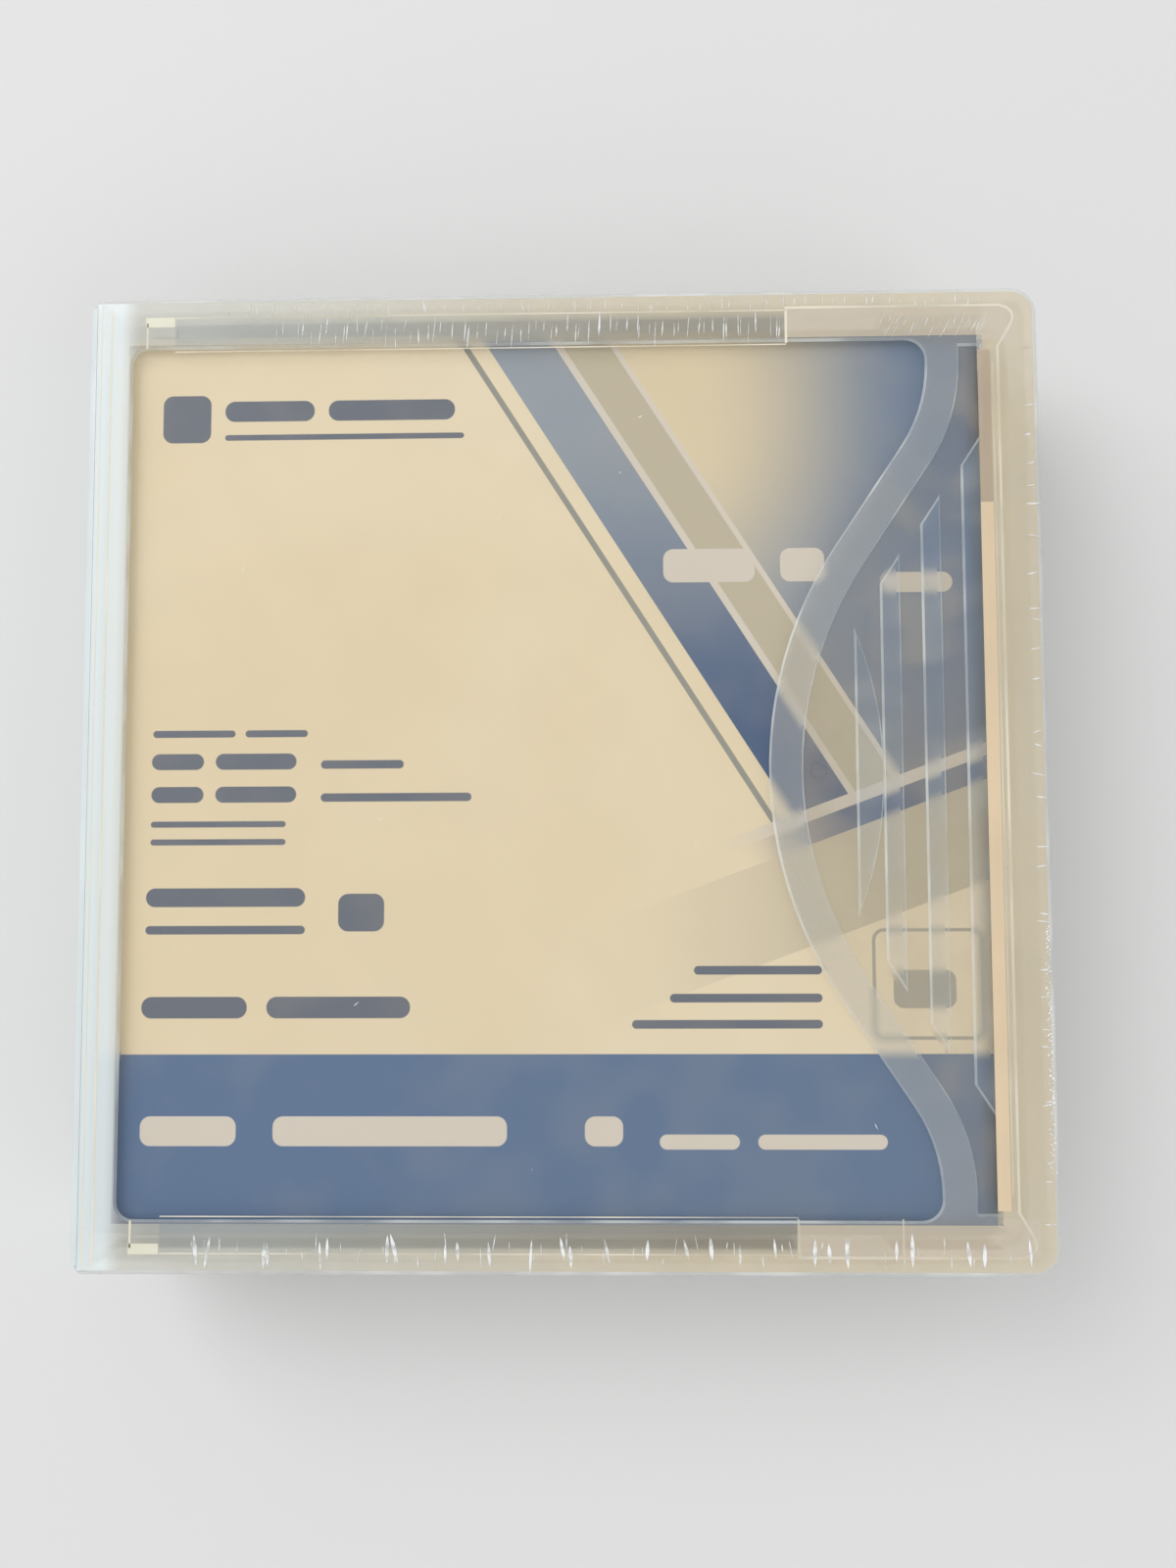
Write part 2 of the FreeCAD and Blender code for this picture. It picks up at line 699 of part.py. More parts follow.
def make_label_sheet():
    body = new_body("label_sheet")
    x0, x1 = f"{CART_LEFT} + card_inset", f"{CART_RIGHT} + card_overhang"
    y0, y1 = f"-{CART_SIDE} + card_front", f"-{CART_SIDE} + card_front + card_length"
    block(body, "card", x0, x1, y0, y1, CART_TOP, f"{CART_TOP} + card_thickness")
    round_uprights(body, "card_corners", [(x0, y0), (x1, y0), (x1, y1), (x0, y1)], "card_corner")
    node("label_sheet", body)


# the cartridge -----------------------------------------------------------------------------

def shell_screw_places():
    """The four corners of the cartridge where screws join its halves."""
    return [(f"{CART_X} + {sx} * screw_x", f"{sy} * screw_y") for sx in (-1, 1) for sy in (-1, 1)]


def corner_posts():
    """Outlines of the posts round the screws, each run into the wall beside it."""
    posts = []
    for sx in (-1, 1):
        for sy in (-1, 1):
            x0 = f"{CART_X} + {sx} * screw_x - post_margin"
            x1 = f"{CART_X} + {sx} * screw_x + post_margin"
            inner_y = f"{sy} * (screw_y - post_margin)"
            posts.append(rectangle(x0, x1, inner_y, f"{sy} * ({CART_SIDE} - cart_wall / 2)"))
    return posts


def shell_walls(body, z0, z1, outer, cavity):
    """Half of the cartridge shell: a rounded block with a cavity behind its outer face."""
    block(body, "shell", CART_LEFT, CART_RIGHT, f"-{CART_SIDE}", CART_SIDE, z0, z1)
    corners = [(x, y) for x in (CART_LEFT, CART_RIGHT) for y in (f"-{CART_SIDE}", CART_SIDE)]
    round_uprights(body, "shell_corners", corners, "cart_corner")
    bevel_edges(body, "shell_edge", level_edges(body.Shape, number(outer)), "cart_edge")
    cut_block(body, "cavity", f"{CART_LEFT} + cart_wall", f"{CART_RIGHT} - cart_wall",
              f"-{CART_SIDE} + cart_wall", f"{CART_SIDE} - cart_wall", *cavity)


def shell_sides(body, z0, z1):
    """What both halves have in their sides between two heights: door opening, grips, label."""
    low = f"max({z0}; {CART_LOW} + door_sill)"
    high = f"min({z1}; {CART_TOP} - door_sill)"
    cut_block(body, "door_opening", f"{CART_RIGHT} - 2 * cart_wall", f"{CART_RIGHT} + cart_wall",
              DOOR_BACK, DOOR_FRONT, low, high)
    low = f"max({z0}; {CART_MID} - label_height / 2)"
    high = f"min({z1}; {CART_MID} + label_height / 2)"
    cut_block(body, "label_recess", f"{CART_X} - label_width / 2", f"{CART_X} + label_width / 2",
              f"-{CART_SIDE} - cart_wall", f"-{CART_SIDE} + label_recess", low, high)
    low = f"max({z0}; {CART_MID} - grip_height / 2)"
    high = f"min({z1}; {CART_MID} + grip_height / 2)"
    grooves = []
    for index in range(int(SIZES["grip_count"])):
        y0 = f"-{CART_SIDE} + 3 * cart_corner + {index} * grip_pitch"
        y1 = f"{y0} + grip_width"
        grooves.append(rectangle(f"{CART_LEFT} - cart_wall", f"{CART_LEFT} + grip_depth", y0, y1))
        grooves.append(rectangle(f"{CART_RIGHT} - grip_depth", f"{CART_RIGHT} + cart_wall", y0, y1))
    profile = draw(body, "grip_outlines", "XY_Plane", low, grooves)
    pocket(body, "grips", profile, f"({high}) - ({low})", Reversed=True)


def make_bottom_shell():
    body = new_body("cartridge_bottom_shell")
    shell_walls(body, CART_LOW, CART_MID, CART_LOW, (INNER_LOW, CART_MID))
    shell_sides(body, CART_LOW, CART_MID)
    screws = shell_screw_places()
    profile = draw(body, "post_outlines", "XY_Plane", INNER_LOW, corner_posts())
    pad(body, "posts", profile, f"{CART_MID} - {INNER_LOW}")
    profile = draw(body, "screw_hole_outlines", "XY_Plane", CART_LOW, [],
                   [(x, y, "screw_radius + screw_gap") for x, y in screws])
    pocket(body, "screw_holes", profile, "cart_height", Reversed=True)
    profile = draw(body, "screw_head_outlines", "XY_Plane", CART_LOW, [],
                   [(x, y, "screw_head_radius + screw_gap") for x, y in screws])
    pocket(body, "screw_heads", profile, "screw_head + 2 * screw_gap", Reversed=True)
    profile = draw(body, "spindle_outline", "XY_Plane", CART_LOW, [],
                   [(CART_X, "reel_y", "spindle_radius")])
    pocket(body, "spindle_opening", profile, "2 * cart_wall", Reversed=True)
    for side, x0, x1 in (("left", f"{CART_LEFT} - cart_wall", f"{CART_LEFT} + guide_depth"),
                         ("right", f"{CART_RIGHT} - guide_depth", f"{CART_RIGHT} + cart_wall")):
        front = DOOR_FRONT if side == "right" else f"{CART_SIDE} - guide_length"
        cut_block(body, f"guide_{side}", x0, x1, front, f"{CART_SIDE} + cart_wall",
                  f"{CART_LOW} - cart_wall", f"{CART_LOW} + guide_height")
    stop_y = f"({DOOR_BACK} - door_overlap - inner_gap - door_spring_length)"
    block(body, "spring_stop", DOOR_IN, f"{CART_RIGHT} - cart_wall / 2",
          f"{stop_y} - spring_stop", stop_y, f"{CART_LOW} + cart_wall / 2", CART_MID)
    cut_slider_window(body)
    add_chip_wedge(body)
    node("cartridge_bottom_shell", body)


def cut_slider_window(body):
    x0 = f"{CART_X} - slider_x - slider_width / 2 - screw_gap"
    x1 = f"{CART_X} - slider_x + slider_width / 2 + slider_travel + 2 * screw_gap"
    low = f"{CART_LOW} + slider_z"
    cut_block(body, "slider_window", x0, x1, f"-{CART_SIDE} - cart_wall",
              f"-{CART_SIDE} + 1.5 * cart_wall", low, f"{low} + slider_height")


def chip_corner():
    return f"({CART_X} - chip_x)", f"(chip_side / sqrt(2))"


def add_chip_wedge(body):
    x, leg = chip_corner()
    outline = [(x, INNER_LOW), (f"{x} + {leg}", INNER_LOW), (x, f"{INNER_LOW} + {leg}")]
    profile = draw(body, "chip_wedge_outline", "XZ_Plane", "chip_y", [outline])
    pad(body, "chip_wedge", profile, "chip_side", Midplane=True)


def make_chip():
    """The memory chip: a small board that leans at 45 degrees on its wedge."""
    body = new_body("memory_chip")
    x, leg = chip_corner()
    near, far = "(screw_gap / sqrt(2))", "((screw_gap + chip_thickness) / sqrt(2))"
    foot, head = (f"{x} + {leg}", INNER_LOW), (x, f"{INNER_LOW} + {leg}")
    outline = [(f"{foot[0]} + {near}", f"{foot[1]} + {near}"),
               (f"{foot[0]} + {far}", f"{foot[1]} + {far}"),
               (f"{head[0]} + {far}", f"{head[1]} + {far}"),
               (f"{head[0]} + {near}", f"{head[1]} + {near}")]
    profile = draw(body, "chip_outline", "XZ_Plane", "chip_y", [outline])
    pad(body, "chip", profile, "chip_side", Midplane=True)
    node("memory_chip", body)


def make_top_shell():
    body = new_body("cartridge_top_shell")
    shell_walls(body, CART_MID, CART_TOP, CART_TOP, (CART_MID, INNER_TOP))
    shell_sides(body, CART_MID, CART_TOP)
    screws = shell_screw_places()
    profile = draw(body, "post_outlines", "XY_Plane", CART_MID, corner_posts())
    pad(body, "posts", profile, f"{INNER_TOP} - {CART_MID}")
    profile = draw(body, "pilot_outlines", "XY_Plane", CART_MID, [],
                   [(x, y, "screw_radius + screw_gap") for x, y in screws])
    pocket(body, "pilot_holes", profile, f"{INNER_TOP} - {CART_MID} - cart_wall / 2",
           Reversed=True)
    half = "post_side / 2"
    low = f"{BRAKE_TOP} + brake_travel + inner_gap"
    block(body, "brake_post", f"{CART_X} - {half}", f"{CART_X} + {half}", f"reel_y - {half}",
          f"reel_y + {half}", low, f"{INNER_TOP} + cart_wall / 2")
    x0, x1 = f"{CART_X} - top_recess_width / 2", f"{CART_X} + top_recess_width / 2"
    y1 = f"{CART_SIDE} - top_recess_front"
    cut_block(body, "top_recess", x0, x1, f"{y1} - top_recess_depth", y1,
              f"{CART_TOP} - label_recess", f"{CART_TOP} + label_recess")
    node("cartridge_top_shell", body)


def make_screws():
    pieces = []
    for index, (x, y) in enumerate(shell_screw_places()):
        low = f"{CART_LOW} + screw_gap"
        head = cylinder(f"screw_head_{index}", x, y, low, f"{low} + screw_head",
                        "screw_head_radius")
        shank = cylinder(f"screw_shank_{index}", x, y, low, f"{low} + screw_length",
                         "screw_radius")
        pieces += [head, shank]
    node("shell_screws", join("shell_screws", pieces))


# the reel ----------------------------------------------------------------------------------

def centred(body):
    """Moves a body drawn about its own Z axis to the axis of the reel."""
    place(body, CART_X, "reel_y", "0")


def tooth(share, count, inner, outer, turn="0"):
    """Outline of one radial tooth that takes a share of its pitch."""
    half = f"(180 * {share} / {count} * 1 deg)"
    middle = f"({turn} * 360 / {count} * 1 deg)"
    corners = [(inner, "-"), (outer, "-"), (outer, "+"), (inner, "+")]
    return [(f"({r}) * cos({middle} {sign} {half})", f"({r}) * sin({middle} {sign} {half})")
            for r, sign in corners]


def make_hub():
    body = new_body("reel_hub")
    profile = draw(body, "flange_outline", "XY_Plane", REEL_LOW, [],
                   [("0", "0", "flange_radius"), ("0", "0", "hub_bore")])
    pad(body, "lower_flange", profile, "flange")
    profile = draw(body, "floor_outline", "XY_Plane", REEL_LOW, [],
                   [("0", "0", "hub_radius"), ("0", "0", "hub_bore")])
    pad(body, "hub_floor", profile, "hub_floor")
    profile = draw(body, "wall_outline", "XY_Plane", REEL_LOW, [],
                   [("0", "0", "hub_radius"), ("0", "0", "hub_radius - hub_wall")])
    pad(body, "hub_wall", profile, "flange + tape_width + inner_gap")
    profile = draw(body, "tooth_outline", "XY_Plane", HUB_FLOOR,
                   [tooth("0.4", "brake_teeth", "0.7 * brake_radius", "brake_radius - inner_gap")])
    first = pad(body, "tooth", profile, "brake_tooth")
    round_pattern(body, "teeth", first, "brake_teeth")
    centred(body)
    node("reel_hub", body)


def make_upper_flange():
    low = f"{REEL_LOW} + flange + tape_width + inner_gap"
    disc = cylinder("upper_flange_disc", CART_X, "reel_y", low, f"{low} + flange",
                    "flange_radius")
    bore = cylinder("upper_flange_bore", CART_X, "reel_y", f"{low} - flange",
                    f"{low} + 2 * flange", "hub_radius - hub_wall")
    node("reel_upper_flange", subtract("reel_upper_flange", disc, bore))


def make_tape_pack():
    low = f"{REEL_LOW} + flange + inner_gap / 2"
    disc = cylinder("tape_disc", CART_X, "reel_y", low, f"{low} + tape_width", "tape_radius")
    bore = cylinder("tape_bore", CART_X, "reel_y", f"{low} - flange",
                    f"{low} + tape_width + flange", "hub_radius + inner_gap / 3")
    node("tape_pack", subtract("tape_pack", disc, bore))


def make_clutch_plate():
    body = new_body("reel_clutch_plate")
    profile = draw(body, "plate_outline", "XY_Plane", REEL_LOW, [],
                   [("0", "0", "clutch_radius"), ("0", "0", "clutch_bore")])
    pad(body, "plate", profile, "clutch_plate", Reversed=True)
    profile = draw(body, "tooth_outline", "XY_Plane", f"{REEL_LOW} - clutch_plate",
                   [tooth("0.5", "clutch_teeth", "clutch_bore + 1", "clutch_radius - 1")])
    first = pad(body, "tooth", profile, "clutch_tooth", Reversed=True)
    round_pattern(body, "teeth", first, "clutch_teeth")
    centred(body)
    node("reel_clutch_plate", body)


def make_brake():
    body = new_body("brake_gear")
    profile = draw(body, "disc_outline", "XY_Plane", BRAKE_DISC, [],
                   [("0", "0", "brake_radius")])
    pad(body, "disc", profile, "brake_disc")
    half = "sleeve_bore_side / 2"
    profile = draw(body, "sleeve_outline", "XY_Plane", BRAKE_TOP,
                   [rectangle(f"-{half}", half, f"-{half}", half)], [("0", "0", "sleeve_radius")])
    pad(body, "sleeve", profile, "sleeve_height")
    profile = draw(body, "tooth_outline", "XY_Plane", BRAKE_DISC,
                   [tooth("0.4", "brake_teeth", "0.7 * brake_radius", "brake_radius - inner_gap",
                          "0.5")])
    first = pad(body, "tooth", profile, "brake_tooth", Reversed=True)
    round_pattern(body, "teeth", first, "brake_teeth")
    centred(body)
    node("brake_gear", body)


def make_release_pad():
    top = f"{BRAKE_DISC} - inner_gap"
    stem = cylinder("release_stem", CART_X, "reel_y", f"{top} - release_height", top,
                    "release_radius")
    node("brake_release_pad", stem)


def make_brake_spring():
    """The envelope of the coil spring that holds the brake down round its sleeve."""
    low, high = f"{BRAKE_TOP} + screw_gap", f"{INNER_TOP} - screw_gap"
    outer = cylinder("brake_spring_outside", CART_X, "reel_y", low, high,
                     "spring_radius + spring_wire")
    inner = cylinder("brake_spring_inside", CART_X, "reel_y", f"{low} - spring_wire",
                     f"{high} + spring_wire", "spring_radius - spring_wire")
    node("brake_spring", subtract("brake_spring", outer, inner))


# door, leader pin and write-protect slider ---------------------------------------------------

def make_door():
    body = new_body("cartridge_door")
    front, back = f"{DOOR_FRONT} + door_overlap", f"{DOOR_BACK} - door_overlap"
    block(body, "door_plate", DOOR_IN, DOOR_OUT, back, front, f"{INNER_LOW} + inner_gap",
          f"{INNER_TOP} - inner_gap")
    block(body, "door_lug", f"{DOOR_IN} + door_thickness / 2", f"{CART_RIGHT} - screw_gap",
          f"{DOOR_FRONT} - inner_gap - lug_width", f"{DOOR_FRONT} - inner_gap",
          f"{CART_MID} - lug_height / 2", f"{CART_MID} + lug_height / 2")
    node("cartridge_door", body)


def make_door_spring():
    """The envelope of the coil spring behind the door, with its axis along Y."""
    start = f"({DOOR_BACK} - door_overlap - screw_gap)"
    outer = lying_cylinder("door_spring_outside", start, "door_spring_length - screw_gap",
                           "door_spring_radius + door_spring_wire")
    inner = lying_cylinder("door_spring_inside", f"{start} + door_spring_wire",
                           "door_spring_length + door_spring_wire",
                           "door_spring_radius - door_spring_wire")
    node("door_spring", subtract("door_spring", outer, inner))


def lying_cylinder(name, y, length, radius):
    """A cylinder that runs towards -Y from a place behind the door."""
    item = DOC.addObject("Part::Cylinder", name)
    bind(item, Radius=radius, Height=length)
    item.Placement.Rotation = FreeCAD.Rotation(V(1, 0, 0), 90)
    place(item, f"{DOOR_OUT} - door_spring_radius", y, CART_MID)
    return item


def make_leader_pin():
    low, high = f"{INNER_LOW} + inner_gap", f"{INNER_TOP} - inner_gap"
    x = f"{CART_X} + pin_x"
    pieces = [cylinder("pin_stem", x, "pin_y", low, high, "pin_radius"),
              cylinder("pin_lower_head", x, "pin_y", low, f"{low} + pin_head", "pin_head_radius"),
              cylinder("pin_upper_head", x, "pin_y", f"{high} - pin_head", high,
                       "pin_head_radius")]
    node("leader_pin", join("leader_pin", pieces))


def make_slider():
    body = new_body("write_protect_slider")
    x0 = f"{CART_X} - slider_x - slider_width / 2"
    x1 = f"{CART_X} - slider_x + slider_width / 2"
    low = f"{CART_LOW} + slider_z + screw_gap"
    high = f"{CART_LOW} + slider_z + slider_height - screw_gap"
    inside = f"(-{CART_SIDE} + cart_wall + inner_gap)"
    block(body, "plate", f"{x0} - slider_flange", f"{x1} + slider_flange", inside,
          f"{inside} + slider_plate", f"{low} - slider_flange", f"{high} + slider_flange")
    block(body, "knob", x0, x1, f"-{CART_SIDE} + label_recess + screw_gap",
          f"{inside} + slider_plate / 2", low, high)
    node("write_protect_slider", body)


# the whole ---------------------------------------------------------------------------------

def check_document():
    """Stops when any object failed or any piece is not a sound closed shape."""
    for item in DOC.Objects:
        if any(state in ("Invalid", "Error") for state in item.State):
            raise ValueError(f"{item.Name} failed: {item.State}")
    for name, item in NODES.items():
        shape = item.Shape
        if shape.isNull() or not shape.isValid() or shape.Volume <= 0:
            raise ValueError(f"{name} is not a sound shape")


def export_nodes():
    os.makedirs("parts", exist_ok=True)
    for name, item in NODES.items():
        item.Shape.exportStep(f"parts/{name}.step")
        print(f"{name}: {len(item.Shape.Solids)} solid, {item.Shape.Volume:.1f} mm3")


SHEET = fill_sheet()
make_tray()
make_spine()
make_lid()
make_web("tray_hinge_web", "web_radius", "-1")
make_web("lid_hinge_web", f"({CASE_TOP} - web_radius)", "1")
make_insert()
make_label_sheet()
make_bottom_shell()
make_top_shell()
make_screws()
make_hub()
make_upper_flange()
make_clutch_plate()
make_tape_pack()
make_brake()
make_brake_spring()
make_release_pad()
make_leader_pin()
make_door()
make_door_spring()
make_slider()
make_chip()
DOC.recompute()
check_document()
export_nodes()
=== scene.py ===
"""Looks of a data tape cartridge in its hinged library case.

The case is hazy clear polypropylene with a relief in its lid. A printed sheet lies under the
lid and folds down inside the spine, the cartridge lies below it, and a shrunk film is tight
round tray and lid, slit where they meet the spine and each other so that they can open.
"""

import logging
import math
import random
from dataclasses import dataclass
from enum import Enum
from typing import Sequence

import bpy
from bpy.types import Material, Node, NodeSocket, Object
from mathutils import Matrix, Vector

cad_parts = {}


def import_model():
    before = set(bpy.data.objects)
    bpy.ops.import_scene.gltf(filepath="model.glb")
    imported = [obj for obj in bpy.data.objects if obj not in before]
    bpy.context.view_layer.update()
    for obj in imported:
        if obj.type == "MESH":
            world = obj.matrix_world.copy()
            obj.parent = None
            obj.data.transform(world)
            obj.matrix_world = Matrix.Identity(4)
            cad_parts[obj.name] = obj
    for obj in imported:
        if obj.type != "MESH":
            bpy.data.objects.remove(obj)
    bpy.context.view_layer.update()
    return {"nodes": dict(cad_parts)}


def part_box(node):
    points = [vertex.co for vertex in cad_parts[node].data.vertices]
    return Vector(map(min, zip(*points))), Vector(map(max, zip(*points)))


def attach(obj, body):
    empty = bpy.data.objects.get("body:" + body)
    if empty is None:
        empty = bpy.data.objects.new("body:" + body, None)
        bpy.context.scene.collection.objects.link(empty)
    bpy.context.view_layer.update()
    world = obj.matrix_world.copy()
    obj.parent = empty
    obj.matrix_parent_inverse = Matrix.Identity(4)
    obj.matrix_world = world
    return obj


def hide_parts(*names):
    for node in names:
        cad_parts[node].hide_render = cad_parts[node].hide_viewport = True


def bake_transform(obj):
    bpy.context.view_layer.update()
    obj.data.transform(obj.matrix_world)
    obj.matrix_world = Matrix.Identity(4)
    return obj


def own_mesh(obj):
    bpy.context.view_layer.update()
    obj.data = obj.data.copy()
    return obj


LOG = logging.getLogger("tape_case")
MM = 0.001
SHEET_MAP = 140.0                   # mm of the printed sheet to 1 of its UV map
SHEET_START = (80.0, 70.0)          # how far the map's corner is from the sheet's middle, in mm
CASE_CLOUDS = 130.0                 # waves to a metre in the haze of the plastic
CASE_IOR = 1.49
Colour = tuple[float, float, float]


def srgb(red: int, green: int, blue: int) -> Colour:
    """Turns a colour as seen on a screen, 0 to 255, into linear light."""
    return tuple(((c / 255 + 0.055) / 1.055) ** 2.4 if c > 10 else c / 255 / 12.92
                 for c in (red, green, blue))


def scaled(colour: Colour, share: float) -> Colour:
    """A colour made darker or lighter by a share."""
    return tuple(c * share for c in colour)


# shader maths ------------------------------------------------------------------------------

class Sock:
    """A number on its way through a material, which takes part in Python arithmetic."""

    def __init__(self, graph: "Graph", socket: NodeSocket) -> None:
        """Wraps the output socket of a node of the graph."""
        self.graph = graph
        self.socket = socket

    def _math(self, operation: str, *values: "Sock | float") -> "Sock":
        """Adds one Math node.

        Args:
            operation: Name of the node's operation.
            values: Its operands, in order.

        Returns:
            What the node gives.
        """
        made = self.graph.node("ShaderNodeMath", {"operation": operation},
                               dict(enumerate(values)))
        return Sock(self.graph, made.outputs[0])

    def __add__(self, other: "Sock | float") -> "Sock":
        """Sum."""
        return self._math("ADD", self, other)

    __radd__ = __add__

    def __sub__(self, other: "Sock | float") -> "Sock":
        """Difference."""
        return self._math("SUBTRACT", self, other)

    def __rsub__(self, other: float) -> "Sock":
        """Difference, with this as what is taken away."""
        return self._math("SUBTRACT", other, self)

    def __mul__(self, other: "Sock | float") -> "Sock":
        """Product."""
        return self._math("MULTIPLY", self, other)

    __rmul__ = __mul__

    def __truediv__(self, other: "Sock | float") -> "Sock":
        """Quotient."""
        return self._math("DIVIDE", self, other)

    def __abs__(self) -> "Sock":
        """Size without sign."""
        return self._math("ABSOLUTE", self)

    def __gt__(self, other: "Sock | float") -> "Sock":
        """One where this is the larger, else nought."""
        return self._math("GREATER_THAN", self, other)

    def __lt__(self, other: "Sock | float") -> "Sock":
        """One where this is the smaller, else nought."""
        return self._math("LESS_THAN", self, other)

    def least(self, other: "Sock | float") -> "Sock":
        """The smaller of the two."""
        return self._math("MINIMUM", self, other)

    def most(self, other: "Sock | float") -> "Sock":
        """The larger of the two."""
        return self._math("MAXIMUM", self, other)

    def root(self) -> "Sock":
        """Square root."""
        return self._math("SQRT", self)

    def wave(self) -> "Sock":
        """Sine, moved to run from 0 to 1."""
        return self._math("SINE", self) * 0.5 + 0.5

    def rest(self) -> "Sock":
        """What is left over the next lower whole number."""
        return self._math("FRACT", self)

    def toward(self, other: "Sock | float", share: "Sock | float") -> "Sock":
        """Moves from this to the other by a share of the way."""
        return self + (other - self) * share

    def within(self, low: float, high: float, soft: "Sock | float") -> "Sock":
        """One between two places, with soft ends."""
        return self.ramp(low - soft, low + soft) * self.ramp(high + soft, high - soft)

    def ramp(self, low: "Sock | float", high: "Sock | float", first: float = 0.0,
             last: float = 1.0) -> "Sock":
        """Rises smoothly as this goes from low up to high.

        Args:
            low: Where the rise starts.
            high: Where it ends.
            first: What it gives up to low.
            last: What it gives from high on.

        Returns:
            The smooth step.
        """
        made = self.graph.node("ShaderNodeMapRange", {"interpolation_type": "SMOOTHSTEP"},
                               {"Value": self, "From Min": low, "From Max": high,
                                "To Min": first, "To Max": last})
        return Sock(self.graph, made.outputs["Result"])


def far(x: Sock | float, y: Sock | float) -> Sock | float:
    """How far out a place is, from its two parts."""
    return (x * x + y * y).root() if isinstance(x, Sock) else math.hypot(x, y)


class Graph:
    """The nodes of one material, or of the world."""

    def __init__(self, name: str, kind: str = "materials") -> None:
        """Starts an empty material or world.

        Args:
            name: Its name.
            kind: "materials" or "worlds".
        """
        self.owner = getattr(bpy.data, kind).new(name)
        self.owner.use_nodes = True
        self.tree = self.owner.node_tree
        self.tree.nodes.clear()

    def node(self, kind: str, settings: dict | None = None,
             inputs: dict | None = None) -> Node:
        """Adds one node.

        Args:
            kind: Type of the node.
            settings: Its own settings, which are set first.
            inputs: Values or links of its sockets, by name or number.

        Returns:
            The node.
        """
        made = self.tree.nodes.new(kind)
        for key, setting in (settings or {}).items():
            setattr(made, key, setting)
        for key, value in (inputs or {}).items():
            socket = made.inputs[key]
            if isinstance(value, Sock):
                self.tree.links.new(value.socket, socket)
            elif isinstance(value, NodeSocket):
                self.tree.links.new(value, socket)
            elif socket.type == "RGBA" and len(value) == 3:
                socket.default_value = (*value, 1.0)
            else:
                socket.default_value = value
        return made

    def parts(self, vector: NodeSocket) -> tuple[Sock, Sock, Sock]:
        """The three parts of a vector."""
        split = self.node("ShaderNodeSeparateXYZ", None, {"Vector": vector})
        return tuple(Sock(self, split.outputs[i]) for i in range(3))

    def place(self) -> NodeSocket:
        """Place in the piece's own frame, in metres."""
        return self.node("ShaderNodeTexCoord").outputs["Object"]

    def place_mm(self) -> tuple[Sock, Sock, Sock]:
        """Place in the piece's own frame, in millimetres."""
        return tuple(part * (1 / MM) for part in self.parts(self.place()))

    def noise(self, scale: float, detail: float = 2.0, stretch: Colour = (1, 1, 1)) -> Sock:
        """Cloudy noise, 0 to 1.

        Args:
            scale: Waves to a metre.
            detail: Octaves.
            stretch: How much finer it is along each axis.

        Returns:
            The noise.
        """
        mapped = self.node("ShaderNodeMapping", None,
                           {"Vector": self.place(), "Scale": stretch})
        made = self.node("ShaderNodeTexNoise", None,
                         {"Vector": mapped.outputs[0], "Scale": scale, "Detail": detail})
        return Sock(self, made.outputs["Fac"])

    def mix(self, factor: Sock | float, first: "Colour | NodeSocket",
            second: "Colour | NodeSocket") -> NodeSocket:
        """A colour between two.

        Args:
            factor: 0 gives the first, 1 the second.
            first: A colour or a link.
            second: A colour or a link.

        Returns:
            The mixed colour.
        """
        made = self.node("ShaderNodeMix", {"data_type": "RGBA"},
                         {0: factor, 6: first, 7: second})
        return made.outputs[2]

    def bump(self, height: Sock, depth: float, strength: float) -> NodeSocket:
        """Turns a height into a leaning of the surface.

        Args:
            height: Height, 0 to 1.
            depth: How deep 1 is, in millimetres.
            strength: Share of the effect.

        Returns:
            The direction for the shader.
        """
        made = self.node("ShaderNodeBump", None,
                         {"Strength": strength, "Distance": depth * MM, "Height": height})
        return made.outputs[0]

    def finish(self, **inputs: "Sock | NodeSocket | Colour | float") -> Material:
        """Ends the material in a Principled shader.

        Args:
            inputs: Values or links of its sockets, with _ for a space in their names.

        Returns:
            The material.
        """
        named = {key.replace("_", " "): value for key, value in inputs.items()}
        shader = self.node("ShaderNodeBsdfPrincipled", None, named)
        self.node("ShaderNodeOutputMaterial", None, {"Surface": shader.outputs[0]})
        return self.owner


# finishes ----------------------------------------------------------------------------------

@dataclass(frozen=True)
class HazyPlastic:
    """One region of translucent polypropylene: how milky, how clouded and how polished."""

    name: str
    colour: Colour
    alpha: float
    cloud: float = 0.3              # share by which the milkiness comes and goes
    rough: float = 0.35
    ripple: float = 0.0             # mm

    def build(self) -> Material:
        """Makes the material.

        Returns:
            The material.
        """
        graph = Graph(self.name)
        cloud = graph.noise(CASE_CLOUDS, 1.0)
        sockets = {"Normal": graph.bump(cloud, self.ripple, 0.12)} if self.ripple else {}
        return graph.finish(Base_Color=graph.mix(cloud, scaled(self.colour, 0.93), self.colour),
                            Alpha=cloud.ramp(0.4, 0.7, self.alpha * (1 - self.cloud),
                                             self.alpha * (1 + self.cloud)),
                            Roughness=cloud * 0.1 + self.rough, IOR=CASE_IOR, **sockets)


@dataclass(frozen=True)
class Zone:
    """One part of the border: its colour and how much of it stops the view."""

    colour: Colour
    alpha: float


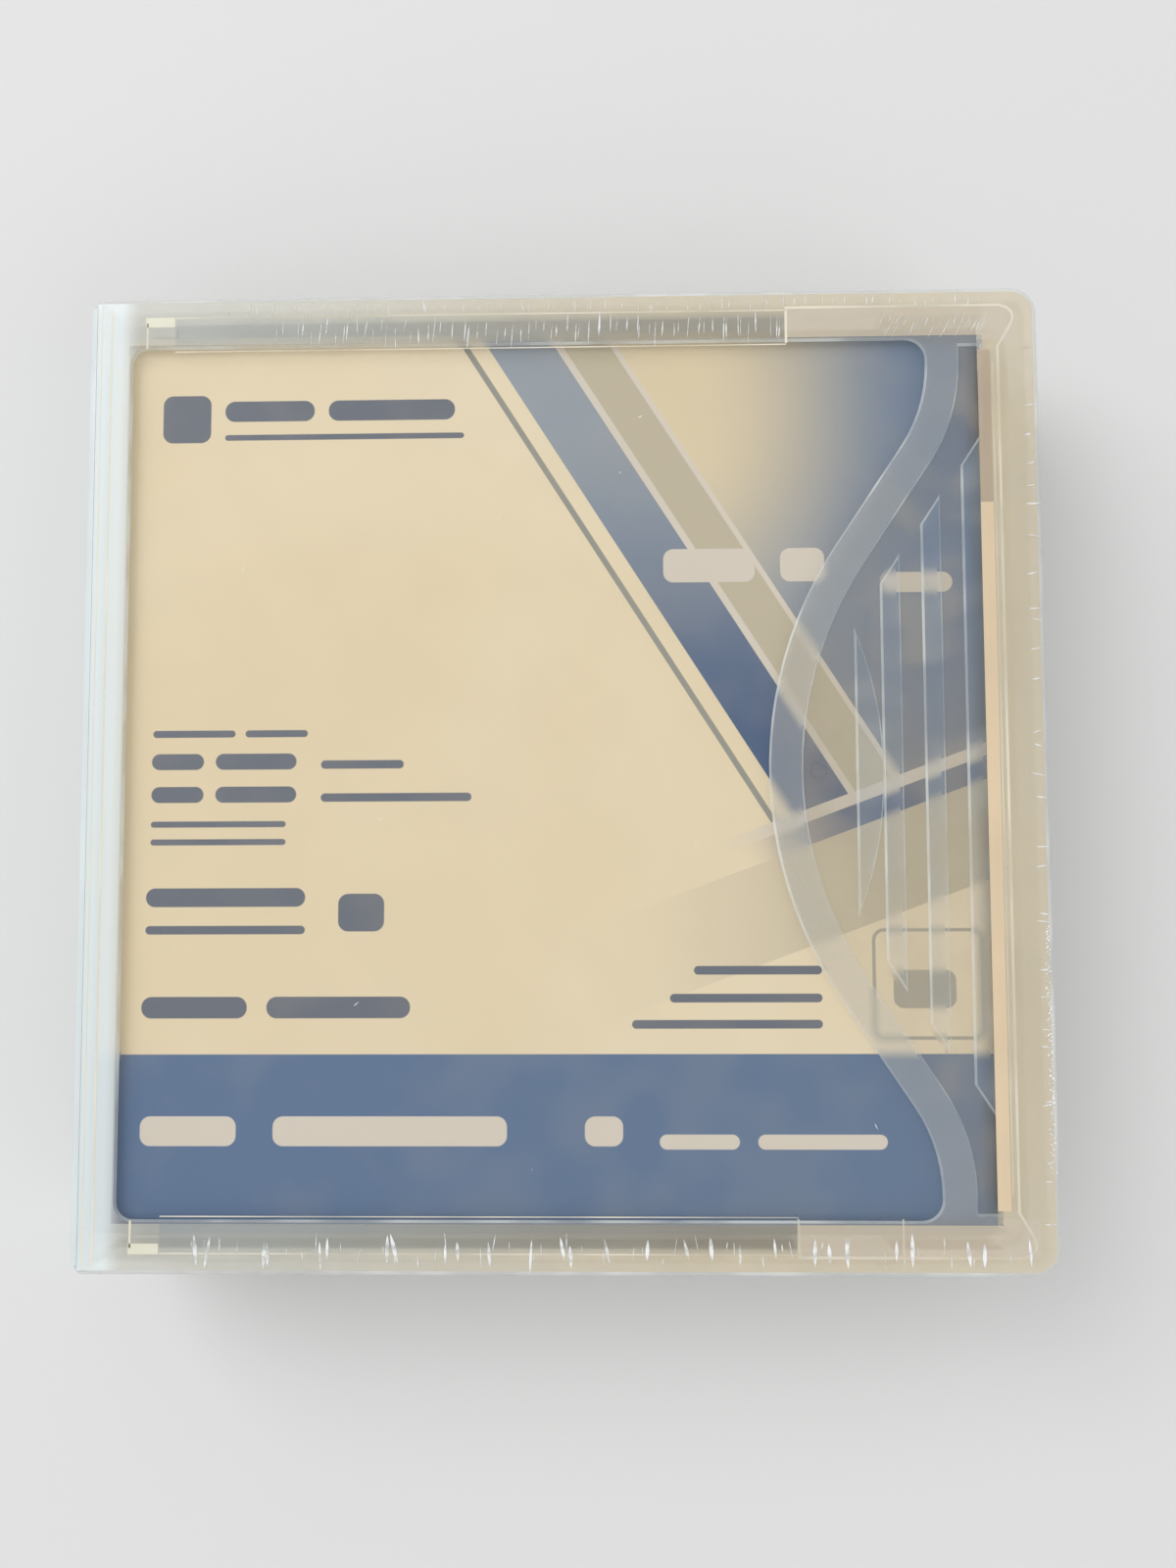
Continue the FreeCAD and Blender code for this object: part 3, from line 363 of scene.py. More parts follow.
@dataclass(frozen=True)
class LidBorder:
    """The lid's raised level: milky round the edge, clearer over the print, white at the spine.

    What lies close under the plastic tints it: the two corner pockets beyond the gap between the
    walls. That gap is painted darker, as its shade. Light from the left is painted as a bluish
    tint, and over the milky white at the spine as a bluish glow. Sizes are in millimetres.
    """

    milk: Zone = Zone(srgb(228, 213, 180), 0.64)
    # painted shade: the gap between the walls, darker under the plastic
    groove_shade: Zone = Zone(srgb(174, 168, 150), 0.62)
    pocket: Zone = Zone(srgb(222, 208, 184), 0.7)
    swoop: Zone = Zone(srgb(206, 206, 200), 0.34)
    # milky white at the spine, with a painted bluish glow of light from the left
    spine: Zone = Zone(srgb(240, 249, 250), 0.8)
    # painted light: the bluish tint that light from the left gives the milk
    cool_light_colour: Colour = srgb(206, 216, 216)
    left: float = -51.6
    right: float = 49.95
    side: float = 51.6
    groove_in: float = 50.9
    groove_out: float = 54.6
    groove_start: float = -46.0
    pocket_start: float = 26.9
    pocket_end: float = 54.0
    pocket_out: float = 55.2
    cool_light_from: float = 20.0         # left of this the milk takes a painted bluish light, most at the next
    cool_light_most: float = -50.0
    spine_edge: tuple[float, float] = (1.6, -1.2)   # from the left line, where the white starts
    vary: float = 0.1               # how much the milkiness comes and goes

    def build(self) -> Material:
        """Makes the material.

        Returns:
            The material.
        """
        graph = Graph("case_border")
        x, y, _ = graph.place_mm()
        away = abs(y)
        cloud = graph.noise(CASE_CLOUDS, 1.0)
        drag = graph.noise(260.0, 1.0, (1.0, 0.12, 1.0))
        # where the painted shade of the gap between the walls lies
        groove_shade = away.within(self.groove_in, self.groove_out, 0.8)
        pocket = away.within(self.groove_in, self.pocket_out, 0.3)
        inside = (x > self.left) * (x < self.right) * (away < self.side)
        zones = (
            (groove_shade * x.within(self.groove_start, self.pocket_start, 0.3), self.groove_shade),
            (pocket * x.within(self.pocket_start, self.pocket_end, 0.3), self.pocket),
            (inside, self.swoop),
        )
        alpha = (cloud + drag) * self.vary + (self.milk.alpha - self.vary)
        colour = graph.mix(drag, scaled(self.milk.colour, 0.93), self.milk.colour)
        for mask, zone in zones:
            alpha = alpha.toward(cloud * self.vary + (zone.alpha - self.vary / 2), mask)
            colour = graph.mix(mask, colour, zone.colour)
        # painted light: the milk turns bluish towards the left, where the light comes from
        painted_cool_light = x.ramp(self.cool_light_from, self.cool_light_most) * (1 - inside) * 0.6
        colour = graph.mix(painted_cool_light, colour, self.cool_light_colour)
        # painted glow: bluish white over the milky plastic at the spine
        spine = x.ramp(*(self.left + place for place in self.spine_edge))
        alpha = alpha.toward(self.spine.alpha, spine)
        colour = graph.mix(spine, colour, self.spine.colour)
        return graph.finish(Base_Color=colour, Alpha=alpha, Roughness=cloud * 0.1 + 0.25,
                            IOR=CASE_IOR)


@dataclass(frozen=True)
class WindowCurve:
    """The curved side of the lid's window: an arc that runs on in two straight tangents."""

    centre: float = 72.1            # X of the arc's middle, on the line Y = 0
    radius: float = 47.6
    slope: float = math.radians(33.8)

    def reach(self, x: Sock | float, y: Sock | float) -> Sock | float:
        """How far a place is from the middle of the arc, with the tangents as part of it.

        Args:
            x: Place along the lid in mm, as a number or in a material.
            y: Place across it in mm, likewise.

        Returns:
            The distance in mm, equal to the radius on the curve.
        """
        across, along = self.centre - x, abs(y)
        beyond = along > across * math.tan(self.slope)
        straight = across * math.cos(self.slope) + along * math.sin(self.slope)
        return far(across, along) * (1 - beyond) + straight * beyond


CURVE = WindowCurve()


@dataclass(frozen=True)
class Bar:
    """One printed bar with rounded corners: its middle and half sizes in mm."""

    x: float
    y: float
    half_x: float
    half_y: float
    corner: float = 1.2

    def reach(self, u: Sock, v: Sock) -> Sock:
        """How far a place is outside the bar, below nought inside it.

        Args:
            u: Place along the sheet in mm.
            v: Place across it in mm.

        Returns:
            The distance in mm.
        """
        radius = min(self.half_x, self.half_y, self.corner)
        across = (abs(u - self.x) - (self.half_x - radius)).most(0.0)
        along = (abs(v - self.y) - (self.half_y - radius)).most(0.0)
        return far(across, along) - radius


def bars(*rows: tuple[float, float, float, float]) -> tuple[Bar, ...]:
    """Bars from their numbers."""
    return tuple(Bar(*row) for row in rows)


@dataclass(frozen=True)
class PrintedSheet:
    """Coated card with fields of colour: stripes, a band and bars, in sheet millimetres."""

    paper: Colour = srgb(229, 212, 177)
    paper_light: Colour = srgb(234, 219, 188)
    slate: Colour = srgb(96, 104, 118)
    ash: Colour = srgb(146, 146, 138)
    band: Colour = srgb(88, 114, 146)
    band_left: Colour = srgb(78, 108, 146)
    white: Colour = srgb(216, 207, 193)
    blue: Colour = srgb(84, 112, 146)
    deep: Colour = srgb(48, 82, 124)
    pale_blue: Colour = srgb(146, 156, 166)
    grey: Colour = srgb(192, 182, 158)
    glow: Colour = srgb(222, 206, 172)
    haze: Colour = srgb(120, 124, 132)
    band_top: float = -32.6
    glow_spot: tuple[float, float] = (16.0, 44.0)
    steep: tuple[float, float, float] = (0.845, 0.535, -18.0)     # the stripes' line: u, v, start
    flat: tuple[float, float, float] = (-0.3471, 0.9381, 14.071)  # the closing stripes' line
    raised_band: float = 3.5        # width of the lid's band along its curve
    raised_border: float = 51.4     # from the middle to the lid's border
    rib_start: float = 37.7
    rib_pitch: float = 4.85
    rib_share: float = 0.39         # of the pitch
    rib_lean: tuple[float, float] = (1.44, 23.0)    # how the ribs' ends lean, and from where
    sharp: float = 0.06             # blur of a printed edge in mm
    blurred: float = 0.8            # more of it below the raised parts
    dark_bars: tuple[Bar, ...] = bars(
        (-44.9, 43.0, 2.9, 2.9), (-34.9, 43.9, 5.4, 1.25), (-20.2, 43.9, 7.6, 1.25),
        (-25.9, 40.7, 14.4, 0.35), (-43.4, 4.9, 4.9, 0.42), (-33.6, 4.9, 3.7, 0.42),
        (-45.3, 1.6, 3.1, 0.95), (-36.0, 1.6, 4.8, 0.95), (-23.4, 1.2, 4.9, 0.5),
        (-45.3, -2.3, 3.1, 0.95), (-36.0, -2.3, 4.8, 0.95), (-19.4, -2.7, 8.9, 0.5),
        (-40.4, -5.8, 8.0, 0.36), (-40.4, -7.9, 8.0, 0.36), (-39.4, -14.4, 9.4, 1.1),
        (-39.4, -18.2, 9.4, 0.5), (-23.4, -16.2, 2.7, 2.2), (-42.9, -27.2, 6.2, 1.25),
        (-26.0, -27.2, 8.4, 1.25), (22.8, -23.0, 7.4, 0.5), (21.4, -26.2, 8.8, 0.5),
        (19.2, -29.2, 11.0, 0.5))
    pale_bars: tuple[Bar, ...] = bars(
        (-43.4, -41.4, 5.6, 1.7), (-19.9, -41.4, 13.6, 1.7), (4.9, -41.4, 2.2, 1.7),
        (15.9, -42.6, 4.6, 0.85), (30.0, -42.6, 7.4, 0.85), (17.6, 24.6, 5.4, 2.0),
        (28.6, 24.6, 2.6, 2.0), (42.0, 22.4, 4.2, 1.2))
    badge_frame: Bar = Bar(42.4, -24.6, 6.2, 6.2)
    badge: Bar = Bar(42.0, -25.2, 3.6, 2.2)

    def raised(self, u: Sock, v: Sock) -> Sock:
        """Finds the parts of the lid that stand proud and blur what is under them.

        Args:
            u: Place along the sheet in mm.
            v: Place across it in mm.

        Returns:
            One below those parts, else nought.
        """
        along, reach = abs(v), CURVE.reach(u, v)
        band = (reach > CURVE.radius - self.raised_band) * (reach < CURVE.radius)
        from_ribs = u - self.rib_start
        rise, base = self.rib_lean
        ribs = (((from_ribs / self.rib_pitch).rest() < self.rib_share)
                * (u > self.rib_start - 0.1) * (along < from_ribs * rise + base))
        return (along > self.raised_border).most(u < -self.raised_border).most(ribs).most(band)

    @staticmethod
    def marks(u: Sock, v: Sock, soft: Sock, printed: Sequence[Bar]) -> Sock:
        """Finds where any of some bars is printed.

        Args:
            u: Place along the sheet in mm.
            v: Place across it in mm.
            soft: Blur of the edges in mm.
            printed: The bars.

        Returns:
            One on a bar, else nought.
        """
        nearest = printed[0].reach(u, v)
        for bar in printed[1:]:
            nearest = nearest.least(bar.reach(u, v))
        return nearest.ramp(soft, soft * -1.0)

    def artwork(self, graph: Graph, u: Sock, v: Sock, soft: Sock,
                ground: NodeSocket) -> NodeSocket:
        """Slanting stripes over the upper right, and flatter ones that close them off below.

        Args:
            graph: The material.
            u: Place along the sheet in mm, from the spine.
            v: Place across it in mm.
            soft: How blurred edges are, in mm.
            ground: Colour below.

        Returns:
            The colour with the stripes.
        """
        steep, low = (u * line[0] + v * line[1] + line[2] for line in (self.steep, self.flat))
        above = low.ramp(0.0 - soft, soft)
        wedge = low.within(-15.0, -4.0, soft) * u.ramp(2.0, 46.0) * (v > self.band_top)
        colour = graph.mix(wedge, ground, self.grey)
        fade = graph.mix(v.ramp(45.0, 0.0), self.pale_blue, self.deep)
        stripes = (
            (low.within(-4.0, -1.4, soft) * steep.ramp(-6.0, 8.0), self.deep),
            (low.within(-1.4, 0.0, soft) * steep.ramp(-9.0, 3.0), self.white),
            (steep.within(-0.4, 0.3, soft) * above, self.ash),
            (steep.within(2.2, 9.0, soft) * above, fade),
            (steep.within(9.0, 9.8, soft) * above, self.white),
            (steep.within(9.8, 14.6, soft) * above, self.grey),
            (steep.within(14.6, 15.2, soft) * above, self.white),
        )
        for mask, tint in stripes:
            colour = graph.mix(mask, colour, tint)
        away = far(u - self.glow_spot[0], v - self.glow_spot[1])
        sky = graph.mix(away.ramp(6.0, 34.0), self.glow, self.pale_blue)
        sky = graph.mix(u.ramp(14.0, 52.0), sky, self.blue)
        sky = graph.mix(v.ramp(26.0, -4.0, 0.0, 0.75), sky, self.haze)
        return graph.mix(steep.ramp(15.2 - soft, soft + 15.2) * above, colour, sky)

    def build(self) -> Material:
        """Makes the material of the printed side.

        Returns:
            The material, for a piece whose UV map says where on the sheet it is.
        """
        graph = Graph("printed_sheet")
        uv = graph.node("ShaderNodeUVMap", {"uv_map": "UVMap"})
        u, v, _ = graph.parts(uv.outputs[0])
        u, v = u * SHEET_MAP - SHEET_START[0], v * SHEET_MAP - SHEET_START[1]
        warm = graph.noise(18.0, 2.0)
        soft = self.raised(u, v) * self.blurred + self.sharp
        ground = graph.mix(warm.ramp(0.3, 0.7), self.paper, self.paper_light)
        colour = self.artwork(graph, u, v, soft, ground)
        tone = graph.mix(u.ramp(-60.0, 50.0), self.band_left, self.band)
        colour = graph.mix(v.ramp(self.band_top + soft, self.band_top - soft), colour, tone)
        for printed, ink in ((self.dark_bars, self.slate), (self.pale_bars, self.white)):
            colour = graph.mix(self.marks(u, v, soft, printed), colour, ink)
        badge = (abs(self.badge_frame.reach(u, v)) - 0.2).least(self.badge.reach(u, v))
        colour = graph.mix(badge.ramp(soft, soft * -1.0) * 0.8, colour, self.ash)
        return graph.finish(Base_Color=colour, Roughness=warm * 0.1 + 0.46, IOR=1.45,
                            Normal=graph.bump(graph.noise(1400.0, 1.0), 0.01, 0.05))


@dataclass(frozen=True)
class PlainCard:
    """Uncoated side of a card: faint fibres, warm white."""

    name: str
    colour: Colour

    def build(self) -> Material:
        """Makes the material.

        Returns:
            The material.
        """
        graph = Graph(self.name)
        fibre = graph.noise(900.0, 4.0, (1.0, 3.0, 1.0))
        return graph.finish(Base_Color=graph.mix(fibre, self.colour, scaled(self.colour, 1.05)),
                            Roughness=fibre * 0.2 + 0.5, Normal=graph.bump(fibre, 0.02, 0.3))


@dataclass(frozen=True)
class MouldedPlastic:
    """Opaque moulded plastic with a spark-eroded grain."""

    name: str
    colour: Colour
    grain: float = 2600.0           # waves to a metre
    depth: float = 0.03             # mm
    rough: float = 0.45

    def build(self) -> Material:
        """Makes the material.

        Returns:
            The material.
        """
        graph = Graph(self.name)
        grain = graph.noise(self.grain, 3.0)
        cloud = graph.noise(60.0)
        return graph.finish(Base_Color=graph.mix(cloud, scaled(self.colour, 0.9), self.colour),
                            Roughness=grain * 0.2 + self.rough - 0.1,
                            Normal=graph.bump(grain, self.depth, 0.4))


@dataclass(frozen=True)
class BrightSteel:
    """Stainless steel with fine turning or drawing marks."""

    name: str
    centre: tuple[float, float] | None = None

    def build(self) -> Material:
        """Makes the material, with rings round the centre where one is given.

        Returns:
            The material.
        """
        graph = Graph(self.name)
        x, y, _ = graph.place_mm()
        marks = graph.noise(1500.0, 3.0, (1.0, 1.0, 8.0))
        if self.centre:
            rings = (far(x - self.centre[0], y - self.centre[1]) * 22.0).wave()
            marks = marks * 0.6 + rings * 0.4
        colour = graph.mix(marks, srgb(168, 170, 172), srgb(205, 206, 206))
        return graph.finish(Base_Color=colour, Metallic=1.0, Roughness=marks * 0.18 + 0.2,
                            Normal=graph.bump(marks, 0.01, 0.25))


@dataclass(frozen=True)
class WoundTape:
    """Edges of thousands of turns of thin tape: dark, with faint rings."""

    centre: tuple[float, float]

    def build(self) -> Material:
        """Makes the material.

        Returns:
            The material.
        """
        graph = Graph("wound_tape")
        x, y, _ = graph.place_mm()
        reach = far(x - self.centre[0], y - self.centre[1])
        fine = (reach * 60.0).wave()
        broad = (reach * 2.3 + graph.noise(40.0) * 3.0).wave()
        colour = graph.mix(fine * 0.5 + broad * 0.4, srgb(36, 31, 30), srgb(62, 54, 50))
        return graph.finish(Base_Color=colour, Roughness=broad * 0.15 + 0.3,
                            Normal=graph.bump(fine, 0.02, 0.4))


@dataclass(frozen=True)
class FilmCreaseGlint:
    """Sharp folds of the shrunk film, painted white as glints: bright, glossy and broken."""

    def build(self) -> Material:
        """Makes the material.

        Returns:
            The material.
        """
        graph = Graph("film_crease")
        # painted glint: white that comes and goes along each fold
        spread = graph.noise(900.0)
        return graph.finish(Base_Color=graph.mix(spread, srgb(236, 240, 240), srgb(255, 255, 255)),
                            Alpha=spread.ramp(0.3, 0.6, 0.4, 1.0), Roughness=spread * 0.1 + 0.1)


@dataclass(frozen=True)
class EdgeGlow:
    """Painted light gathered at the ends of walls and ribs under the lid."""

    name: str = "edge_glow"
    colour: Colour = srgb(252, 244, 224)
    low: float = 0.35
    high: float = 0.9

    def build(self) -> Material:
        """Makes the material, which comes and goes along its length.

        Returns:
            The material.
        """
        graph = Graph(self.name)
        spread = graph.noise(60.0)
        return graph.finish(Base_Color=graph.mix(spread, scaled(self.colour, 0.94), self.colour),
                            Alpha=spread.ramp(0.3, 0.7, self.low, self.high),
                            Roughness=spread * 0.1 + 0.2)


@dataclass(frozen=True)
class FilmSkin:
    """Tight clear film: almost unseen, with faint whitish wisps of painted sheen where it isn't
    flat.
    """

    name: str
    start: float                    # how much of it stays quite clear, 0 to 1
    most: float                     # alpha of the wisps of painted sheen

    def build(self) -> Material:
        """Makes the material.

        Returns:
            The material.
        """
        graph = Graph(self.name)
        # painted sheen: whitish wisps that come and go with the ripple
        ripple = graph.noise(60.0, 1.0)
        return graph.finish(Base_Color=graph.mix(ripple, srgb(235, 238, 236), srgb(250, 250, 248)),
                            Alpha=ripple.ramp(self.start, 0.85, 0.0, self.most),
                            Roughness=ripple * 0.05 + 0.06)


# making meshes -----------------------------------------------------------------------------

def mesh_piece(name: str, verts: Sequence[Sequence[float]], faces: Sequence[Sequence[int]],
               *materials: Material) -> Object:
    """Makes an object of points in millimetres and faces.

    Args:
        name: Name of the piece.
        verts: Points in mm.
        faces: Lists of the numbers of their points.
        materials: Finishes of its slots.

    Returns:
        The object, in the scene.
    """
    mesh = bpy.data.meshes.new(name)
    mesh.from_pydata([tuple(c * MM for c in point) for point in verts], [], faces)
    mesh.validate()
    for material in materials:
        mesh.materials.append(material)
    piece = bpy.data.objects.new(name, mesh)
    bpy.context.scene.collection.objects.link(piece)
    LOG.info("%s: %d faces", name, len(mesh.polygons))
    return piece


def grid(rows: int, wide: int, start: int = 0, closed: bool = False,
         flip: bool = False) -> list[tuple[int, ...]]:
    """Faces that join rows of points.

    Args:
        rows: How many rows there are.
        wide: Points in a row.
        start: Number of the first point.
        closed: Whether each row runs on into its own start.
        flip: Whether the faces look the other way.

    Returns:
        The faces, row by row.
    """
    faces = []
    for k in range(rows - 1):
        for i in range(wide if closed else wide - 1):
            a, b = start + k * wide + i, start + k * wide + (i + 1) % wide
            face = (a, b, b + wide, a + wide)
            faces.append(face[::-1] if flip else face)
    return faces


def dress(node: Object, material: Material) -> None:
    """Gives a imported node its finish."""
    node.data.materials.clear()
    node.data.materials.append(material)


# sub-assemblies ----------------------------------------------------------------------------

class Region(Enum):
    """Kinds of surface on the case, each with a finish of its own."""

    BORDER = LidBorder()
    # milky white, with a painted bluish glow of light from the left
    SPINE_SIDE = HazyPlastic("case_spine_side", srgb(240, 249, 250), 0.78, 0.04, 0.3, 0.4)
    WINDOW = HazyPlastic("case_window", srgb(240, 224, 190), 0.05, 0.25, 0.12)
    FIELD = HazyPlastic("case_field", srgb(206, 194, 170), 0.26, 0.3, 0.15)
    RIB = HazyPlastic("case_rib", srgb(206, 208, 204), 0.26, 0.3, 0.15)
    # painted highlight: steps, slopes and fillets made bright, as edges that catch the light
    EDGE = HazyPlastic("case_edge_highlight", srgb(236, 240, 236), 0.6, 0.3, 0.2)
    # painted highlight: the tray's rim top made bright, as the lit end of its walls
    RIM_HIGHLIGHT = HazyPlastic("case_rim_highlight", srgb(250, 248, 236), 0.8, 0.3, 0.25)
    WALL = HazyPlastic("case_wall", srgb(236, 236, 228), 0.27, 0.1, 0.3, 0.4)
    INSIDE = HazyPlastic("case_inside", srgb(226, 226, 216), 0.02, 0.5, 0.3)
    FLOOR = HazyPlastic("case_floor", srgb(236, 236, 228), 0.27, 0.1, 0.3, 0.4)


@dataclass
class LibraryCase:
    """Tray, spine and lid of the hinged case, with the hinge strips between them."""

    nodes: dict[str, Object]
    top: float = 27.0
    relief: float = 0.4
    wall: float = 1.2
    band_wall: float = 1.6          # from the window's curve into its band
    band: float = 4.6               # from the window's curve to the far side of its band
    field_left: float = 46.0        # right of this the relief is always the ribbed field
    border: tuple[float, float, float] = (-51.4, 49.8, 45.0)      # left, right, and either side
    # how much a face turns up, from 1 to -1, where one kind of face ends and the next starts
    level: float = 0.97
    nearly_level: float = 0.9
    upright: float = 0.2
    under: float = -0.5

    def lid_region(self, middle: Vector, up: float) -> Region:
        """Which region a face of the lid is in.

        Args:
            middle: Middle of the face in mm.
            up: How much it faces upwards, 1 to -1.

        Returns:
            The region.
        """
        reach = CURVE.reach(middle.x, middle.y)
        if up < self.under:
            return Region.INSIDE
        # steps, slopes and fillets of the relief take the painted highlight
        if up < self.upright:
            return Region.EDGE if abs(middle.z - self.top) <= self.relief + 0.01 else Region.WALL
        if up < self.level:
            return Region.EDGE
        if middle.z < self.top - self.relief / 2:
            beyond = reach < CURVE.radius - self.band_wall or middle.x > self.field_left
            return Region.FIELD if beyond else Region.WINDOW
        left, right, side = self.border
        inside = left < middle.x < right and abs(middle.y) < side
        return Region.RIB if inside and reach < CURVE.radius - self.band else Region.BORDER

    def tray_region(self, middle: Vector, up: float) -> Region:
        """Which region a face of the tray is in, as for the lid.

        Args:
            middle: Middle of the face in mm.
            up: How much it faces upwards, 1 to -1.

        Returns:
            The region.
        """
        # the rim's top takes the painted highlight
        if up > self.nearly_level and middle.z > self.top / 3:
            return Region.RIM_HIGHLIGHT
        return Region.WALL if abs(up) < -self.under else Region.FLOOR

    def spine_region(self, middle: Vector, up: float) -> Region:
        """Which region a face of the spine or of a hinge strip is in, as for the lid."""
        side = abs(up) < self.nearly_level or middle.z > self.top - self.wall
        return Region.SPINE_SIDE if side else Region.EDGE

    def dress(self) -> None:
        """Gives each face of the case the finish of its region."""
        order = list(Region)
        made = [region.value.build() for region in order]
        for name, choose in (("case_lid", self.lid_region), ("case_tray", self.tray_region),
                             ("case_spine", self.spine_region),
                             ("tray_hinge_web", self.spine_region),
                             ("lid_hinge_web", self.spine_region)):
            mesh = self.nodes[name].data
            mesh.materials.clear()
            for material in made:
                mesh.materials.append(material)
            for face in mesh.polygons:
                face.material_index = order.index(choose(face.center / MM, face.normal.z))


@dataclass
class CoverSheet:
    """The printed sheet under the lid, folded down inside the spine."""

    bend: float = 1.0               # radius of the fold in mm
    bend_steps: int = 8
    thickness: float = 0.25
    flap_steps: int = 12
    columns: int = 60
    rows: int = 44

    def profile(self) -> list[tuple[float, float, float]]:
        """Draws the section of the outer face.

        Returns:
            Points as X, Z and place along the sheet, in mm.
        """
        low, high = (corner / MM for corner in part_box("cover_insert"))
        flap, turn = high.z - self.bend - low.z, low.x + self.bend
        arc = math.pi / 2 * self.bend
        points = []
        for i in range(self.flap_steps + 1):
            share = i / self.flap_steps
            points.append((low.x, low.z + flap * share, turn - arc - flap * (1 - share)))
        for i in range(1, self.bend_steps + 1):
            share = i / self.bend_steps
            angle = math.pi / 2 * share
            points.append((turn - self.bend * math.cos(angle),
                           high.z - self.bend + self.bend * math.sin(angle),
                           turn - arc * (1 - share)))
        for i in range(1, self.columns + 1):
            x = turn + (high.x - turn) * i / self.columns
            points.append((x, high.z, x))
        return points

    def build(self) -> Object:
        """Makes the sheet with its printed and its plain side.

        Returns:
            The sheet.
        """
        low, high = (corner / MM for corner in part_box("cover_insert"))
        profile = self.profile()
        wide, count = self.rows + 1, len(profile)
        verts = []
        for side in range(2):
            for k, (x, z, _) in enumerate(profile):
                before, after = profile[max(k - 1, 0)], profile[min(k + 1, count - 1)]
                run = Vector((after[0] - before[0], after[1] - before[1])).normalized()
                inward = (run.y * self.thickness * side, -run.x * self.thickness * side)
                for j in range(wide):
                    y = low.y + (high.y - low.y) * j / self.rows
                    verts.append((x + inward[0], y, z + inward[1]))
        inner = count * wide
        faces = grid(count, wide, flip=True) + grid(count, wide, inner)
        printed = len(faces) // 2
        rim = ([j for j in range(wide)]
               + [k * wide + self.rows for k in range(1, count)]
               + [(count - 1) * wide + j for j in range(self.rows - 1, -1, -1)]
               + [k * wide for k in range(count - 2, 0, -1)])
        for a, b in zip(rim, rim[1:] + rim[:1]):
            faces.append((a, b, inner + b, inner + a))
        piece = mesh_piece("printed_cover", verts, faces, PrintedSheet().build(),
                           PlainCard("cover_inside", srgb(233, 230, 220)).build())
        self.lay_out(piece, [s for _, _, s in profile])
        for face in piece.data.polygons:
            face.material_index = 0 if face.index < printed else 1
            face.use_smooth = face.index < 2 * printed
        return piece

    def lay_out(self, piece: Object, lengths: Sequence[float]) -> None:
        """Writes places along and across the sheet as its UV map.

        Args:
            piece: The sheet.
            lengths: How far along the sheet each row of points is, in mm.
        """
        layer = piece.data.uv_layers.new(name="UVMap")
        wide, count = self.rows + 1, len(lengths)
        for loop in piece.data.loops:
            u = lengths[loop.vertex_index % (count * wide) // wide]
            v = piece.data.vertices[loop.vertex_index].co.y / MM
            layer.data[loop.index].uv = ((u + SHEET_START[0]) / SHEET_MAP,
                                         (v + SHEET_START[1]) / SHEET_MAP)

    def place(self) -> None:
        """Puts the sheet where the solid is, and hides the solid."""
        piece = self.build()
        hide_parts("cover_insert")
        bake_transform(piece)


@dataclass
class Cartridge:
    """Shell, reel, brake, door, pin, slider, chip and springs of the cartridge."""

    nodes: dict[str, Object]
    springs: Sequence["CoilSpring"]
    shell: Colour = srgb(128, 62, 50)
    axis: tuple[float, float] = (-1.2, -0.6)

    def dress(self) -> None:
        """Gives every node of the cartridge its finish."""
        shell = MouldedPlastic("shell_plastic", self.shell).build()
        steel = BrightSteel("bright_steel").build()
        reel = MouldedPlastic("reel_plastic", srgb(214, 214, 208), 900.0, 0.01, 0.35).build()
        finishes = {
            "cartridge_bottom_shell": shell, "cartridge_top_shell": shell,
            "cartridge_door": MouldedPlastic("door_plastic", srgb(108, 54, 46)).build(),
            "shell_screws": steel, "leader_pin": steel,
            "reel_clutch_plate": BrightSteel("clutch_steel", self.axis).build(),
            "reel_hub": reel, "reel_upper_flange": reel,
            "tape_pack": WoundTape(self.axis).build(),
            "brake_gear": MouldedPlastic("brake_plastic", srgb(60, 62, 66)).build(),
            "brake_release_pad": MouldedPlastic("pad_plastic", srgb(206, 204, 196)).build(),
            "write_protect_slider": MouldedPlastic("slider_plastic", srgb(196, 60, 40)).build(),
            "memory_chip": MouldedPlastic("chip_plastic", srgb(30, 34, 32), 1800.0).build(),
            "label_sheet": PlainCard("label_card", srgb(228, 214, 184)).build(),
        }
        for name, material in finishes.items():
            dress(self.nodes[name], material)
        for spring in self.springs:
            dress(self.nodes[spring.node], steel)
            spring.build(steel)


@dataclass(frozen=True)
class Ribbon:
    """A thin line seen at the lid's upper face, as points in mm and a width."""

    points: tuple[tuple[float, float], ...]
    width: float
    mirrored: bool = True


